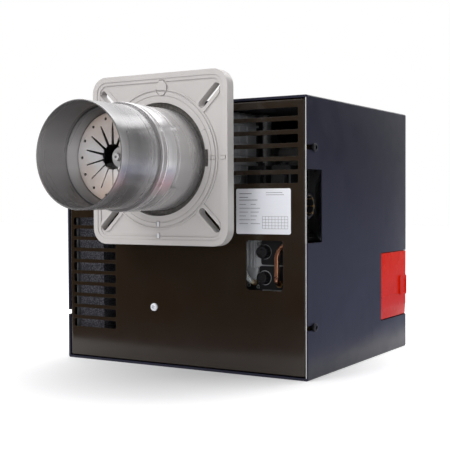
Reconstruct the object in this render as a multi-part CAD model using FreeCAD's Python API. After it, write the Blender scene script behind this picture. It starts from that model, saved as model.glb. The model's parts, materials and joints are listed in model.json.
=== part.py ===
"""Small forced-draught gas burner with a sound-damping hood.

Millimetres, +Z up. The origin is where the flame tube's axis crosses the boiler-side face of
the mounting flange. The flame leaves towards -Y, the hood lies towards +Y and the gas comes
in on the +X side.
"""
import FreeCAD, Part
import math
import os

from FreeCAD import Vector

# Hood and the planes that follow from it
HOOD_WIDTH = 360.0
HOOD_HEIGHT = 333.0
HOOD_DEPTH = 327.0
HOOD_SHEET = 1.5
HOOD_LIP = 3.0
HOOD_LIP_DEPTH = 10.0
HOOD_CORNER_R = 12.0
HOOD_LIP_INSET = 0.5
FLANGE_TO_PANEL = 45.0
AXIS_ABOVE_FLOOR = 261.0

LEFT = -HOOD_WIDTH / 2
RIGHT = HOOD_WIDTH / 2
FLOOR = -AXIS_ABOVE_FLOOR
TOP = FLOOR + HOOD_HEIGHT
FRONT = FLANGE_TO_PANEL
BACK = FRONT + HOOD_DEPTH

# Clearances
MOVING_GAP = 0.3
RUNNING_GAP = 0.05
PANEL_GAP = 1.0
SLOT_CLEARANCE = 0.5

# Flame tube
MOUTH_R = 60.0
MOUTH_WALL = 2.0
MOUTH_REACH = 149.0
SPIGOT_LENGTH = 50.0
SPIGOT_STEP = 1.0
SHOULDER_GAP = 0.5
REAR_TUBE_WALL = 2.7
SLIP_GAP = 0.1
BAND_FRONT = -79.0
BAND_BACK = -49.0
BAND_WALL = 1.2
STEP_RING_FRONT = -100.4
STEP_RING_WALL = 1.5
STEP_RING_LIP = 0.3
STEP_RING_TAIL = 12.0
REAR_TUBE_TAIL = 13.0

MOUTH_FRONT = -MOUTH_REACH
MOUTH_RIM_R = MOUTH_WALL * 0.4
REAR_TUBE_BORE = MOUTH_R - SPIGOT_STEP + SLIP_GAP
REAR_TUBE_R = REAR_TUBE_BORE + REAR_TUBE_WALL
REAR_TUBE_BACK = FRONT + REAR_TUBE_TAIL

# Burner head inside the flame tube
DISC_STEP = 7.0
DISC_R = MOUTH_R - MOUTH_WALL - DISC_STEP
DISC_FRONT = -88.0
DISC_SHEET = 1.5
DISC_HOLE_R = 14.6
DISC_SLOTS = 14
DISC_SLOT_WIDTH = 2.6
DISC_SLOT_MARGIN = 12.0
DISC_SLOT_END_R = DISC_R - DISC_SLOT_MARGIN
DISC_DOT_R = 1.3
DISC_DOT_MARGIN = 6.5
DISC_DOT_PITCH_R = DISC_R - DISC_DOT_MARGIN
DISC_RIM = 8.0
STRUTS = 3
STRUT_START_DEG = 90
STRUT_PITCH_R = DISC_DOT_PITCH_R * 1.05
STRUT_R = 2.0
STEP_RING_GAP = 1.0
LANCE_R = 11.0
LANCE_WALL = 1.6
LANCE_SETBACK = 12.0
NOZZLE_R = 11.8
NOZZLE_TIP_R = 4.5
NOZZLE_FRONT = -82.5
NOZZLE_LENGTH = 16.0
NOZZLE_CONE = 8.0
NOZZLE_BORE_R = 1.6
ELECTRODE_R = 1.4
CERAMIC_R = 4.0
ELECTRODE_SPREAD = 24.0
ELECTRODE_HEIGHT = -13.0
ELECTRODE_REACH = 7.0
ELECTRODE_TAIL = 12.0
CERAMIC_AHEAD = 14.0
CERAMIC_LENGTH = 58.0
PROBE_X = 0.0
PROBE_Z = 27.0
SPIDER_Y = -62.0
SPIDER_THICK = 4.0
SPIDER_HUB_R = 18.0
SPIDER_ARM = 6.0
SPIDER_LUG = 10.0
SPIDER_LUG_END = 6.0
SPIDER_SIDE = 6.0
SPIDER_SEAT = 7.0
SETTING_ROD_R = 3.0
SETTING_ROD_INSET = 15.1
SETTING_ROD_X = REAR_TUBE_BORE - SETTING_ROD_INSET
SETTING_ROD_Z = -20.0
SETTING_ROD_TAIL = 20.0
SETTING_GRIP = 10.0
SETTING_GRIP_R = SETTING_ROD_R * 2.2

# Mounting flange
FLANGE_WIDTH = 198.0
FLANGE_HEIGHT = 208.0
FLANGE_CORNER_R = 20.0
FLANGE_THICK = 14.0
SEAL_THICK = 6.6
FLANGE_BORE_R = REAR_TUBE_R + MOVING_GAP + SEAL_THICK
FLANGE_BORE_DEPTH = 10.0
FLANGE_RIM = 8.0
FLANGE_RIM_STEP = 1.2
FLANGE_RING_STEP = 16.3
FLANGE_RING_R = FLANGE_BORE_R + FLANGE_RING_STEP
FLANGE_RING_WIDTH = 1.6
FLANGE_SLOT_IN_R = 85.0
FLANGE_SLOT_OUT_R = 122.0
FLANGE_SLOT_WIDTH = 9.0
FLANGE_SLOT_DEG = (45, 135, 225, 315)
FLANGE_SLOT_ROUND = 0.49
FLANGE_WEB = 4.0
FLANGE_WEB_IN = 6.0
FLANGE_WEB_OUT = 5.0
HUB_WALL = 16.2
HUB_R = REAR_TUBE_R + HUB_WALL
HUB_LENGTH = 20.0
CLAMP_GAP = 4.0
CLAMP_LUG = 13.0
CLAMP_LUG_DROP = 17.0
CLAMP_LUG_ROOT = 6.0
CLAMP_LUG_SETBACK = 4.0
CLAMP_BOLT_R = 4.0
CLAMP_HEAD_R = CLAMP_BOLT_R * 1.85
CLAMP_HEAD = 5.5
CLAMP_NUT = 6.5
CLAMP_BOLT_END = 9.0
SEAL_LENGTH = 3.6
PAD_X = 6.0
PAD_Z = 86.6
PAD_HALF = (7.0, 9.0)

# Plenum housing behind the front panel
HOUSING_X = (-76.0, 70.0)
HOUSING_Z = (-72.0, 60.0)
HOUSING_BACK = 150.0
HOUSING_WALL = 4.0
HOUSING_CORNER_R = 8.0
HOUSING_INNER_R = 4.0
HOUSING_FLANGE = 4.0
HOUSING_FLANGE_R = 6.0
HOUSING_FLANGE_THICK = 7.0
HOUSING_FLANGE_TOP = 1.5
HOUSING_COLLAR = 4.4
HOUSING_RIBS = 5
HOUSING_RIB = 3.0
HOUSING_RIB_SETBACK = 6.0
REAR_PLATE_THICK = 4.0
HOUSING_BOLT_R = 3.6
HOUSING_BOLT = 4.0
HOUSING_BOLT_OUT = 0.5
HOUSING_BOLT_UP = 1.0
HOUSING_BOLT_MIDDLE_X = 32.0
HOUSING_TOP_BOLT_INSET = (1.0, 5.0)

# Fan
FAN_Y = 240.0
FAN_Z = -55.0
FAN_R = 65.0
FAN_X = (-52.0, 0.0)
FAN_HUB_R = 15.0
FAN_HUB_LENGTH = 26.0
FAN_BLADES = 32
FAN_BLADE_DEPTH = 14.0
FAN_BLADE_SHEET = 1.2
FAN_BLADE_INSET = 0.4
FAN_BLADE_DEG = -24.0
FAN_SHEET = 2.0
FAN_RIM = FAN_BLADE_DEPTH * 0.4
SCROLL_X = (-56.0, 6.0)
SCROLL_WALL = 3.0
SCROLL_START_R = 70.0
SCROLL_END_R = 112.0
SCROLL_TONGUE_DEG = -42.0
SCROLL_END_DEG = 270.0
SCROLL_STEPS = 14
INLET_R = 44.0
INLET_RING_R = 54.0
INLET_RING_LENGTH = 9.0
INLET_SHEET = 2.0
INLET_SEAT = 4.0
INLET_LIP = 3.0
SHAFT_CLEARANCE = 5.0

# Motor
MOTOR_R = 46.0
MOTOR_WALL = 4.0
MOTOR_LENGTH = 92.0
MOTOR_FINS = 28
MOTOR_FIN_HEIGHT = 5.0
MOTOR_FIN = 2.2
MOTOR_FIN_SETBACK = 6.0
SHIELD_THICK = 9.0
SHAFT_R = 7.0
SHAFT_REACH = 30.0
SHAFT_TAIL = 4.0
ROTOR_R = 27.0
STATOR_BORE = 27.5
ROTOR_LENGTH = 56.0
BEARING_R = 16.0
BEARING_WIDTH = 7.0
CAPACITOR_R = 16.0
CAPACITOR_LENGTH = 62.0
CAPACITOR_SETBACK = 12.0
CAPACITOR_SINK = 0.6
CAPACITOR_FOOT_SETBACK = 20.0
CAPACITOR_FOOT_HALF = 10.0
CAPACITOR_FOOT_DROP = 2.0
CAPACITOR_FOOT_TOP = 6.0

# Air intake, left side
SILENCER_X = (LEFT + 11.0, HOUSING_X[0] - 7.0)
SILENCER_Y = (50.0, 180.0)
SILENCER_Z = (-250.0, -22.0)
SILENCER_SHEET = 1.2
FOAM_INNER_X = SILENCER_X[0] + 43.0
FOAM_LINER = 8.0
FOAM_SETBACK = 4.0
FOAM_END = 32.0
DAMPER_SIZE = SILENCER_X[1] - SILENCER_X[0] - 16.0
DAMPER_X = SILENCER_X[1] - 2.0 - DAMPER_SIZE / 2
DAMPER_Z = -70.0
DAMPER_GAP = 0.8
DAMPER_SHEET = 2.0
DAMPER_SHAFT_R = 4.0
DAMPER_SLEEVE = 2.5
DAMPER_COUPLING_WALL = 5.0
DAMPER_COUPLING = 10.0
DAMPER_FRAME = 22.0
DAMPER_FRAME_WALL = 6.0
ELBOW_X = (SILENCER_X[0] + 7.0, SCROLL_X[0] - SCROLL_WALL)
ELBOW_Z = (-112.0, -2.0)
ELBOW_WALL = 3.0
ELBOW_CORNER_R = 6.0
ELBOW_BACK = 296.0
ELBOW_EYE_GAP = 1.0
SERVO_SIZE = (62.0, 48.0, 40.0)
SERVO_CORNER_R = 4.0
SERVO_LIFT = 2.0
SERVO_POST_R = 3.5
SERVO_POST_X = 26.0

# Gas train, right side
VALVE_X = (HOUSING_X[1] + 14.0, RIGHT - 34.0)
VALVE_Y = (64.0, 118.0)
VALVE_Z = (-160.0, -38.0)
VALVE_CORNER_R = 6.0
VALVE_OUTLET = 8.0
VALVE_OUTLET_WALL = 6.0
VALVE_GALLERY = 26.0
VALVE_INLET = 4.0
VALVE_INLET_WALL = 1.0
GAS_PIPE_Y = 94.0
GAS_PIPE_Z = -140.0
GAS_PIPE_R = 11.0
GAS_PIPE_WALL = 1.6
GAS_THREAD_R = 12.06
GAS_SOCKET_R = 16.0
GAS_SOCKET_LENGTH = 22.0
GAS_ENTRY_R = 10.0
GAS_ENTRY = 22.0
GAS_INLET_Y = 66.0
GAS_INLET_Z = -57.0
KNOB_X = VALVE_X[0] + 30.5
KNOB_Z = (-112.4, -143.7)
KNOB_R = (8.5, 8.0)
KNOB_LENGTH = 10.0
KNOB_BOSS = 1.5
KNOB_CHAMFER = 1.0
KNOB_FACE = 1.8
KNOB_GRIPS = 10
KNOB_GRIP_R = 1.3
KNOB_GRIP_OUT = 0.5
VALVE_RIB = 2.5
VALVE_RIBS = 3
VALVE_RIB_START = 4.0
VALVE_RIB_PITCH = 5.2
VALVE_RIB_WIDTH = 2.2
VALVE_RIB_INSET = (28.0, 6.0)
SPINDLE_R = 3.0
COIL_HEIGHT = 30.0
COIL_SPARE = 10.0
COIL_HALF = (VALVE_X[1] - VALVE_X[0] - COIL_SPARE) / 4
COIL_CORNER_R = 3.0
COIL_SETBACK = 4.0
COIL_INSET = (2.0, 1.0)
COIL_NUT_R = 5.0
COIL_NUT = 4.0
GAS_SWITCH_SIZE = (40.0, 22.0, 30.0)
GAS_SWITCH_INSET = 11.0
GAS_SWITCH_SETBACK = 1.0
GAS_SWITCH_CORNER_R = 3.0
SLEEVE_WALL = 3.0
SLEEVE_AHEAD = 32.0
SLEEVE_LENGTH = 46.0
SLEEVE_SOCKET = 39.0

# Front panel
PANEL_SHEET = 1.5
PANEL_RETURN = 26.0
PANEL_CORNER_R = 3.0
PANEL_NOTCH_INSET = 6.0
PANEL_HOLE_R = REAR_TUBE_R + 10.2
PANEL_BACK = FRONT + PANEL_SHEET
PANEL_HALF = RIGHT - HOOD_LIP - PANEL_GAP
PANEL_LOW = FLOOR + HOOD_LIP + PANEL_GAP
PANEL_HIGH = TOP - HOOD_LIP - PANEL_GAP
LOUVRE_HEIGHT = 10.3
LOUVRE_CORNER_R = LOUVRE_HEIGHT * 0.12
LEFT_LOUVRES = 10
LEFT_LOUVRE_PITCH = 15.07
LEFT_LOUVRE_LOW = -218.0
LEFT_LOUVRE_X = (LEFT + 10.0, LEFT + 80.5)
RIGHT_LOUVRES = 6
RIGHT_LOUVRE_PITCH = 15.6
RIGHT_LOUVRE_LOW = -30.0
RIGHT_LOUVRE_X = (PANEL_HOLE_R + 6.0, RIGHT - 12.5)
WINDOW_X = (VALVE_X[0] + 13.3, VALVE_X[1] + 1.5)
WINDOW_Z = (-157.5, -98.0)
WINDOW_CORNER_R = 4.0
PLATE_X = (RIGHT - 95.8, RIGHT - 21.8)
PLATE_Z = (-90.4, -36.2)
PLATE_SHEET = 0.6
PLATE_CORNER_R = 1.0
FRONT_SCREW_X = -37.8
FRONT_SCREW_Z = -185.8
FRONT_SCREW_R = 2.5
FRONT_SCREW_HEAD_R = 5.0
FRONT_SCREW_HEAD = 2.6
FRONT_SCREW_LENGTH = 14.0
FRONT_NUT_R = FRONT_SCREW_R * 1.8
FRONT_NUT = 4.0
FRONT_NUT_GAP = 0.2

# Hood screws, one pair on each side
SIDE_SCREW_SETBACK = 16.0
SIDE_SCREW_Z = (11.4, -199.6)
SIDE_SCREW_R = 2.5
SIDE_SCREW_HEAD_R = 5.0
SIDE_SCREW_HEAD = 3.2
SIDE_SCREW_LENGTH = 10.0

# Side notch for the gas connection and the rear connector window
NOTCH_DEPTH = 38.3
NOTCH_Z = (-100.4, -14.0)
REAR_WINDOW_X = (-72.0, 40.0)
REAR_WINDOW_Z = (-250.0, -212.0)

# Controls on the equipment tray
TRAY_X = (-66.0, RIGHT - 10.0)
TRAY_Z = -252.0
TRAY_SHEET = 1.5
TRAY_BACK = BACK - 10.0
TRAY_EDGE = 24.0
TRAY_ABOVE_SCREW = 12.0
BRACKET_SHEET = 1.5
BRACKET_FOOT = 22.0
BRACKET_INSET = 8.0
SHELF_INSET = 6.0
SHELF_SIDE = 14.0
TRANSFORMER_X = (-60.0, 40.0)
TRANSFORMER_Y = (176.0, 250.0)
TRANSFORMER_HEIGHT = 62.0
TRANSFORMER_CORNER_R = 5.0
CONTROL_X = (RIGHT - 49.0, RIGHT - 14.0)
CONTROL_Y = (BACK - 88.0, BACK - 14.0)
CONTROL_Z = (-214.0, -126.0)
CONTROL_BASE = 12.0
CONTROL_BASE_CORNER_R = 3.0
CONTROL_CASE_INSET = 2.0
CONTROL_CASE_CORNER_R = 5.0
DISPLAY_DEPTH = 1.0
DISPLAY_FROM_BUTTON = (14.0, 18.0)
DISPLAY_MARGIN = (8.0, 10.0)
BUTTON_Y = BACK - 72.0
BUTTON_Z = -190.0
BUTTON_R = 8.0
BUTTON_LENGTH = 9.5
BUTTON_SUNK = 6.0
BUTTON_ROUND = 1.0
BUTTON_WELL = 10.0
SWITCH_Y = 96.0
SWITCH_Z = 22.0
SWITCH_R = 27.0
SWITCH_LENGTH = 30.0
SWITCH_CAN = SWITCH_LENGTH * 0.55
SWITCH_CAP_STEP = 4.0
DIAL_R = 9.0
DIAL_HEIGHT = 4.0
DIAL_SPINDLE_SHORT = 1.0
DIAL_MARK = 1.6
DIAL_MARK_START = 1.0

# Control cover at the right rear corner of the hood
COVER_FRONT = BACK - 102.5
COVER_Z = (-213.6, -123.2)
COVER_REAR_X = RIGHT - 62.0
COVER_SHEET = 2.4
COVER_GAP = 1.0
COVER_PIN_R = 1.5
COVER_PIN_INSET = 5.0
COVER_PIN_SETBACK = 9.0
COVER_LUG_R = 3.3
COVER_LUG = 10.0
COVER_LUG_INSET = 8.0
COVER_ARM_ROOT = 1.0
COVER_BRACKET = 3.0
COVER_BRACKET_LIFT = 6.0
COVER_BRACKET_BACK = 9.0
COVER_TAB_WIDTH = 24.0
COVER_TAB_Z = (-184.9, -157.7)
COVER_TAB = 2.2

# Pipes, hoses and cables: radii, and paths as steps from the place they start at
COPPER_PIPE_R = 3.0
HOSE_R = 2.6
LEAD_R = 3.4
CABLE_R = 2.8
VALVE_CABLE_R = 3.0
CABLE_LIFT = 3.2
PILOT_BOSS_R = 4.5
PILOT_BOSS_X = 12.0
PILOT_BOSS = 5.0
COPPER_FROM_VALVE = ((-12.0, 0.0, 9.0), (-12.0, -11.0, 9.0), (-10.0, -12.0, 30.0), (-11.0, -12.0, 48.0))
COPPER_TO_PORT = ((-8.0, -9.0, -20.0), (0.0, 0.0, -12.0), (0.0, 0.0, 0.0))
HOSE_FROM_VALVE = ((15.0, 0.0, 10.0), (15.0, -9.0, 10.0), (6.0, -10.0, 23.0), (5.0, -9.0, 45.0),
                   (8.0, -8.0, 68.0), (6.0, -7.0, 92.0), (-2.0, -2.0, 112.0))
HOSE_TO_HOUSING = ((8.0, 2.0, 32.0), (0.0, 2.0, 32.0))
LEAD_HEIGHT = 36.0
LEAD_POST_X = (-30.0, 5.0)
LEAD_POST_R = 6.0
LEAD_POST = 14.0
LEAD_END_X = (-40.0, 30.0)
LEAD_FROM_POST = ((0.0, -13.0, 0.0), (0.0, -34.0, 0.0))
LEAD_TO_HOUSING = ((-1.0, -46.0, 52.0), (0.0, -48.0, 88.0))
LEAD_TURN = (0.4, -43.0, 24.0)
MOTOR_CABLE_INSET = 20.0
MOTOR_CABLE_FROM_BASE = ((0.0, 26.0, 64.0), (-14.0, 26.0, 64.0), (-24.0, 25.0, 84.0))
MOTOR_CABLE_TO_MOTOR = ((4.0, 17.0, -49.0), (0.0, 15.0, -23.0), (0.0, 12.0, 0.0), (0.0, 0.0, 0.0))
VALVE_CABLE_FROM_BASE = ((0.0, 46.0, 9.0), (-14.0, 46.0, 9.0), (-22.0, 38.0, -14.0), (-22.0, 10.0, -33.3),
                         (-17.0, -39.0, -33.3), (-19.0, -89.0, -33.3))
VALVE_CABLE_TO_VALVE = ((-15.0, 42.0, -81.3), (-14.0, 24.0, -49.3), (-14.0, 21.0, -9.3), (-14.0, 18.0, 48.0),
                        (-14.0, 9.0, 64.0), (-14.0, 0.0, 64.0))
SPARK_CABLE_FROM_BASE = ((0.0, 61.0, 9.0), (-14.0, 61.0, 9.0), (-30.0, 54.0, -12.0), (-52.0, 34.0, -33.3),
                         (-74.0, 8.0, -33.3))
SPARK_CABLE_TO_CASE = ((-10.0, 26.0, 4.0), (-28.0, 14.0, 16.0), (-28.0, 0.0, 16.0))

# Rear plug sockets
SOCKET_X = (8.0, 68.0)
SOCKET_POLES = (7, 4)
SOCKET_PITCH = 6.4
SOCKET_SIDE = 2.5
SOCKET_DEPTH = 30.0
SOCKET_HEIGHT = 30.0
SOCKET_RIM = 2.0
SOCKET_MOUTH_DEPTH = 14.0
SOCKET_MOUTH_Z = (9.0, 27.0)
SOCKET_PIN = (2.6, 11.0, 4.0)
SOCKET_PIN_LOW = 16.0
SOCKET_PIN_OFFSET = 1.1
SOCKET_PIN_SUNK = 1.0

# Hood foam lining
LINING = 8.0
LINING_SETBACK = 32.0
LINING_START = FRONT + LINING_SETBACK
LINING_SIDE = 14.0
LINING_TOP = 20.0
LINING_END = 6.0
LINING_CORNER = 20.0
LINING_TO_COVER = 8.0
LINING_TO_WINDOW = 6.0

PARTS = "parts"


def block(x, y, z):
    """A box between the two ends given for each axis."""
    size = Vector(x[1] - x[0], y[1] - y[0], z[1] - z[0])
    return Part.makeBox(size.x, size.y, size.z, Vector(x[0], y[0], z[0]))


def rod(radius, start, direction, length):
    """A solid cylinder."""
    return Part.makeCylinder(radius, length, Vector(*start), Vector(*direction))


def ring(outer, inner, start, direction, length):
    """A straight tube with an open bore."""
    return rod(outer, start, direction, length).cut(rod(inner, start, direction, length))


def rounded_block(x, y, z, radius, axis):
    """A box whose four edges along one axis are rounded."""
    solid = block(x, y, z)
    along = Vector(*axis)
    edges = [e for e in solid.Edges if abs(e.tangentAt(e.FirstParameter).dot(along)) > 0.999]
    return solid.makeFillet(radius, edges)


def turned(profile, start, direction):
    """A body of revolution from (distance along the axis, radius) points."""
    points = [Vector(r, 0, d) for d, r in profile]
    face = Part.Face(Part.makePolygon(points + [points[0]]))
    solid = face.revolve(Vector(0, 0, 0), Vector(0, 0, 1), 360)
    turn = FreeCAD.Rotation(Vector(0, 0, 1), Vector(*direction))
    solid.Placement = FreeCAD.Placement(Vector(*start), turn)
    return solid


def joined(shapes):
    """All the shapes as one solid."""
    return shapes[0].multiFuse(shapes[1:]).removeSplitter()


def group(solids):
    """Separate solids kept together in one node."""
    return Part.makeCompound(solids)


def steps_from(origin, steps):
    """Points at the given steps from one place."""
    return [tuple(o + s for o, s in zip(origin, step)) for step in steps]


def route(points, radius, wall=None):
    """A round cable or pipe: straight runs joined by tangent arcs."""
    stops = [Vector(*p) for p in points]
    edges = []
    bends = []
    here = stops[0]
    for i in range(1, len(stops) - 1):
        before = (stops[i] - stops[i - 1])
        after = (stops[i + 1] - stops[i])
        half = before.getAngle(after) / 2
        cut = 0.45 * min(before.Length, after.Length)
        a = stops[i] - before.normalize() * cut
        b = stops[i] + after.normalize() * cut
        towards = ((a + b) * 0.5 - stops[i])
        bend = cut / math.tan(half)
        bends.append(round(bend, 1))
        middle = stops[i] + towards.normalize() * (bend / math.cos(half) - bend)
        edges.append(Part.LineSegment(here, a).toShape())
        edges.append(Part.Arc(a, middle, b).toShape())
        here = b
    edges.append(Part.LineSegment(here, stops[-1]).toShape())
    wire = Part.Wire(edges)
    direction = stops[1] - stops[0]

    def swept(r):
        profile = Part.Wire(Part.makeCircle(r, stops[0], direction))
        return wire.makePipeShell([profile], True, False)

    solid = swept(radius)
    share = solid.Volume / (math.pi * radius ** 2 * wire.Length)
    print(f"bend radii {bends}, length {wire.Length:.1f}, volume to section times length {share:.4f}")
    return solid.cut(swept(radius - wall)) if wall else solid


def hex_head(radius, start, direction, length):
    """A hexagon bolt head or nut."""
    corners = [math.radians(60 * k) for k in range(7)]
    points = [Vector(radius * math.cos(a), radius * math.sin(a), 0) for a in corners]
    solid = Part.Face(Part.makePolygon(points)).extrude(Vector(0, 0, length))
    turn = FreeCAD.Rotation(Vector(0, 0, 1), Vector(*direction))
    solid.Placement = FreeCAD.Placement(Vector(*start), turn)
    return solid


# Front panel and what is fixed on it

def louvre_slots(x, low, pitch, count):
    """One column of louvre slots through the front panel."""
    y = (FRONT - 1, PANEL_BACK + 1)
    slots = []
    for k in range(count):
        z = low + k * pitch
        slots.append(rounded_block(x, y, (z, z + LOUVRE_HEIGHT), LOUVRE_CORNER_R, (0, 1, 0)))
    return slots


def front_panel():
    """Folded sheet with a return along all four edges."""
    y = (FRONT, PANEL_BACK + PANEL_RETURN)
    pan = rounded_block((-PANEL_HALF, PANEL_HALF), y, (PANEL_LOW, PANEL_HIGH), PANEL_CORNER_R, (0, 1, 0))
    inside = block((-PANEL_HALF + PANEL_SHEET, PANEL_HALF - PANEL_SHEET), (PANEL_BACK, y[1] + 1),
                   (PANEL_LOW + PANEL_SHEET, PANEL_HIGH - PANEL_SHEET))
    pan = pan.cut(inside)
    cuts = louvre_slots(LEFT_LOUVRE_X, LEFT_LOUVRE_LOW, LEFT_LOUVRE_PITCH, LEFT_LOUVRES)
    cuts += louvre_slots(RIGHT_LOUVRE_X, RIGHT_LOUVRE_LOW, RIGHT_LOUVRE_PITCH, RIGHT_LOUVRES)
    cuts.append(rounded_block(WINDOW_X, (FRONT - 1, PANEL_BACK + 1), WINDOW_Z, WINDOW_CORNER_R, (0, 1, 0)))
    cuts.append(rod(PANEL_HOLE_R, (0, FRONT - 1, 0), (0, 1, 0), PANEL_SHEET + 2))
    screw = (FRONT_SCREW_X, FRONT - 1, FRONT_SCREW_Z)
    cuts.append(rod(FRONT_SCREW_R + SLIP_GAP, screw, (0, 1, 0), PANEL_SHEET + 2))
    cuts.append(block((PANEL_HALF - PANEL_NOTCH_INSET, PANEL_HALF + 1), (PANEL_BACK + 1, y[1] + 1), NOTCH_Z))
    for z in SIDE_SCREW_Z:
        side = (-PANEL_HALF - 1, FRONT + SIDE_SCREW_SETBACK, z)
        cuts.append(rod(SIDE_SCREW_R + SLIP_GAP, side, (1, 0, 0), 2 * PANEL_HALF + 2))
    return pan.cut(cuts)


def rating_plate():
    """Bare metal plate stuck on the panel."""
    return rounded_block(PLATE_X, (FRONT - PLATE_SHEET, FRONT), PLATE_Z, PLATE_CORNER_R, (0, 1, 0))


def front_screw():
    """Pan head screw that holds the tray to the panel."""
    start = (FRONT_SCREW_X, FRONT, FRONT_SCREW_Z)
    head = rod(FRONT_SCREW_HEAD_R, start, (0, -1, 0), FRONT_SCREW_HEAD)
    head = head.makeFillet(FRONT_SCREW_HEAD * 0.5, [head.Edges[0]])
    shank = rod(FRONT_SCREW_R, start, (0, 1, 0), FRONT_SCREW_LENGTH)
    nut = hex_head(FRONT_NUT_R, (FRONT_SCREW_X, PANEL_BACK, FRONT_SCREW_Z), (0, 1, 0), FRONT_NUT)
    return joined([head, shank, nut])


def hood_screws():
    """Four screws that clamp the hood to the returns of the front panel."""
    screws = []
    for side in (-1, 1):
        for z in SIDE_SCREW_Z:
            y = FRONT + SIDE_SCREW_SETBACK
            seat = side * (RIGHT + MOVING_GAP)
            head = rod(SIDE_SCREW_HEAD_R, (seat, y, z), (side, 0, 0), SIDE_SCREW_HEAD)
            shank = rod(SIDE_SCREW_R, (seat, y, z), (-side, 0, 0), SIDE_SCREW_LENGTH)
            screws.append(joined([head, shank]))
    return group(screws)


# Flame tube

def mouth_tube():
    """Front section of the flame tube, with a rounded rim."""
    outside = rod(MOUTH_R, (0, MOUTH_FRONT, 0), (0, 1, 0), BAND_FRONT - MOUTH_FRONT)
    spigot = rod(MOUTH_R - SPIGOT_STEP, (0, BAND_FRONT, 0), (0, 1, 0), SPIGOT_LENGTH)
    length = BAND_FRONT + SPIGOT_LENGTH - MOUTH_FRONT
    bore = rod(MOUTH_R - MOUTH_WALL, (0, MOUTH_FRONT - 1, 0), (0, 1, 0), length + 2)
    tube = outside.fuse(spigot).cut(bore)
    rim = [e for e in tube.Edges if abs(e.BoundBox.YMax - MOUTH_FRONT) < 1e-6 and e.BoundBox.YLength < 1e-6]
    return tube.makeFillet(MOUTH_RIM_R, rim)


def rear_tube():
    """Rear section, which reaches through the flange into the housing."""
    start = BAND_FRONT + SHOULDER_GAP
    return ring(REAR_TUBE_R, REAR_TUBE_BORE, (0, start, 0), (0, 1, 0), REAR_TUBE_BACK - start)


def tube_band():
    """Clamp band over the joint of the two tube sections."""
    start = BAND_FRONT + SHOULDER_GAP
    return ring(REAR_TUBE_R + BAND_WALL, REAR_TUBE_R, (0, start, 0), (0, 1, 0), BAND_BACK - start)


def step_ring():
    """Cone that narrows the mouth to the diffuser disc."""
    outer = MOUTH_R - MOUTH_WALL
    throat = DISC_R + STEP_RING_GAP
    cone = DISC_FRONT - STEP_RING_FRONT
    profile = [(0, outer - STEP_RING_LIP), (0, outer), (STEP_RING_WALL, outer),
               (cone, throat + STEP_RING_WALL), (cone + STEP_RING_TAIL, throat + STEP_RING_WALL),
               (cone + STEP_RING_TAIL, throat), (cone, throat)]
    return turned(profile, (0, STEP_RING_FRONT, 0), (0, 1, 0))


# Burner head

def strut_angles():
    """Angles of the struts between the disc and its carrier."""
    return [STRUT_START_DEG + 360 * k / STRUTS for k in range(STRUTS)]


def diffuser_disc():
    """Pressed disc with radial swirl slots and a ring of small holes."""
    disc = ring(DISC_R, DISC_HOLE_R, (0, DISC_FRONT, 0), (0, 1, 0), DISC_SHEET)
    cuts = []
    step = 360.0 / DISC_SLOTS
    for k in range(DISC_SLOTS):
        slot = block((DISC_HOLE_R - 1, DISC_SLOT_END_R), (DISC_FRONT - 1, DISC_FRONT + DISC_SHEET + 1),
                     (-DISC_SLOT_WIDTH / 2, DISC_SLOT_WIDTH / 2))
        slot.rotate(Vector(0, 0, 0), Vector(0, 1, 0), k * step + step / 2)
        cuts.append(slot)
        angle = math.radians(k * step)
        dot = (DISC_DOT_PITCH_R * math.cos(angle), DISC_FRONT - 1, DISC_DOT_PITCH_R * math.sin(angle))
        cuts.append(rod(DISC_DOT_R, dot, (0, 1, 0), DISC_SHEET + 2))
    rim = ring(DISC_R, DISC_R - DISC_SHEET, (0, DISC_FRONT, 0), (0, 1, 0), DISC_RIM)
    struts = []
    for degrees in strut_angles():
        angle = math.radians(degrees)
        at = (STRUT_PITCH_R * math.cos(angle), DISC_FRONT + DISC_SHEET, STRUT_PITCH_R * math.sin(angle))
        struts.append(rod(STRUT_R, at, (0, 1, 0), SPIDER_Y - DISC_FRONT - DISC_SHEET))
    return joined([disc.cut(cuts), rim] + struts)


def gas_nozzle():
    """Nozzle screwed on the front of the lance."""
    length = NOZZLE_LENGTH
    profile = [(0, 0), (0, NOZZLE_TIP_R), (NOZZLE_CONE, NOZZLE_R), (length, NOZZLE_R), (length, 0)]
    tip = turned(profile, (0, NOZZLE_FRONT, 0), (0, 1, 0))
    bore = rod(NOZZLE_BORE_R, (0, NOZZLE_FRONT - 1, 0), (0, 1, 0), length + 2)
    return tip.cut(bore)


def gas_lance():
    """Straight gas tube that carries the head and slides in the gas elbow."""
    start = NOZZLE_FRONT + NOZZLE_LENGTH
    return ring(LANCE_R, LANCE_R - LANCE_WALL, (0, start, 0), (0, 1, 0), GAS_PIPE_Y - LANCE_SETBACK - start)


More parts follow.
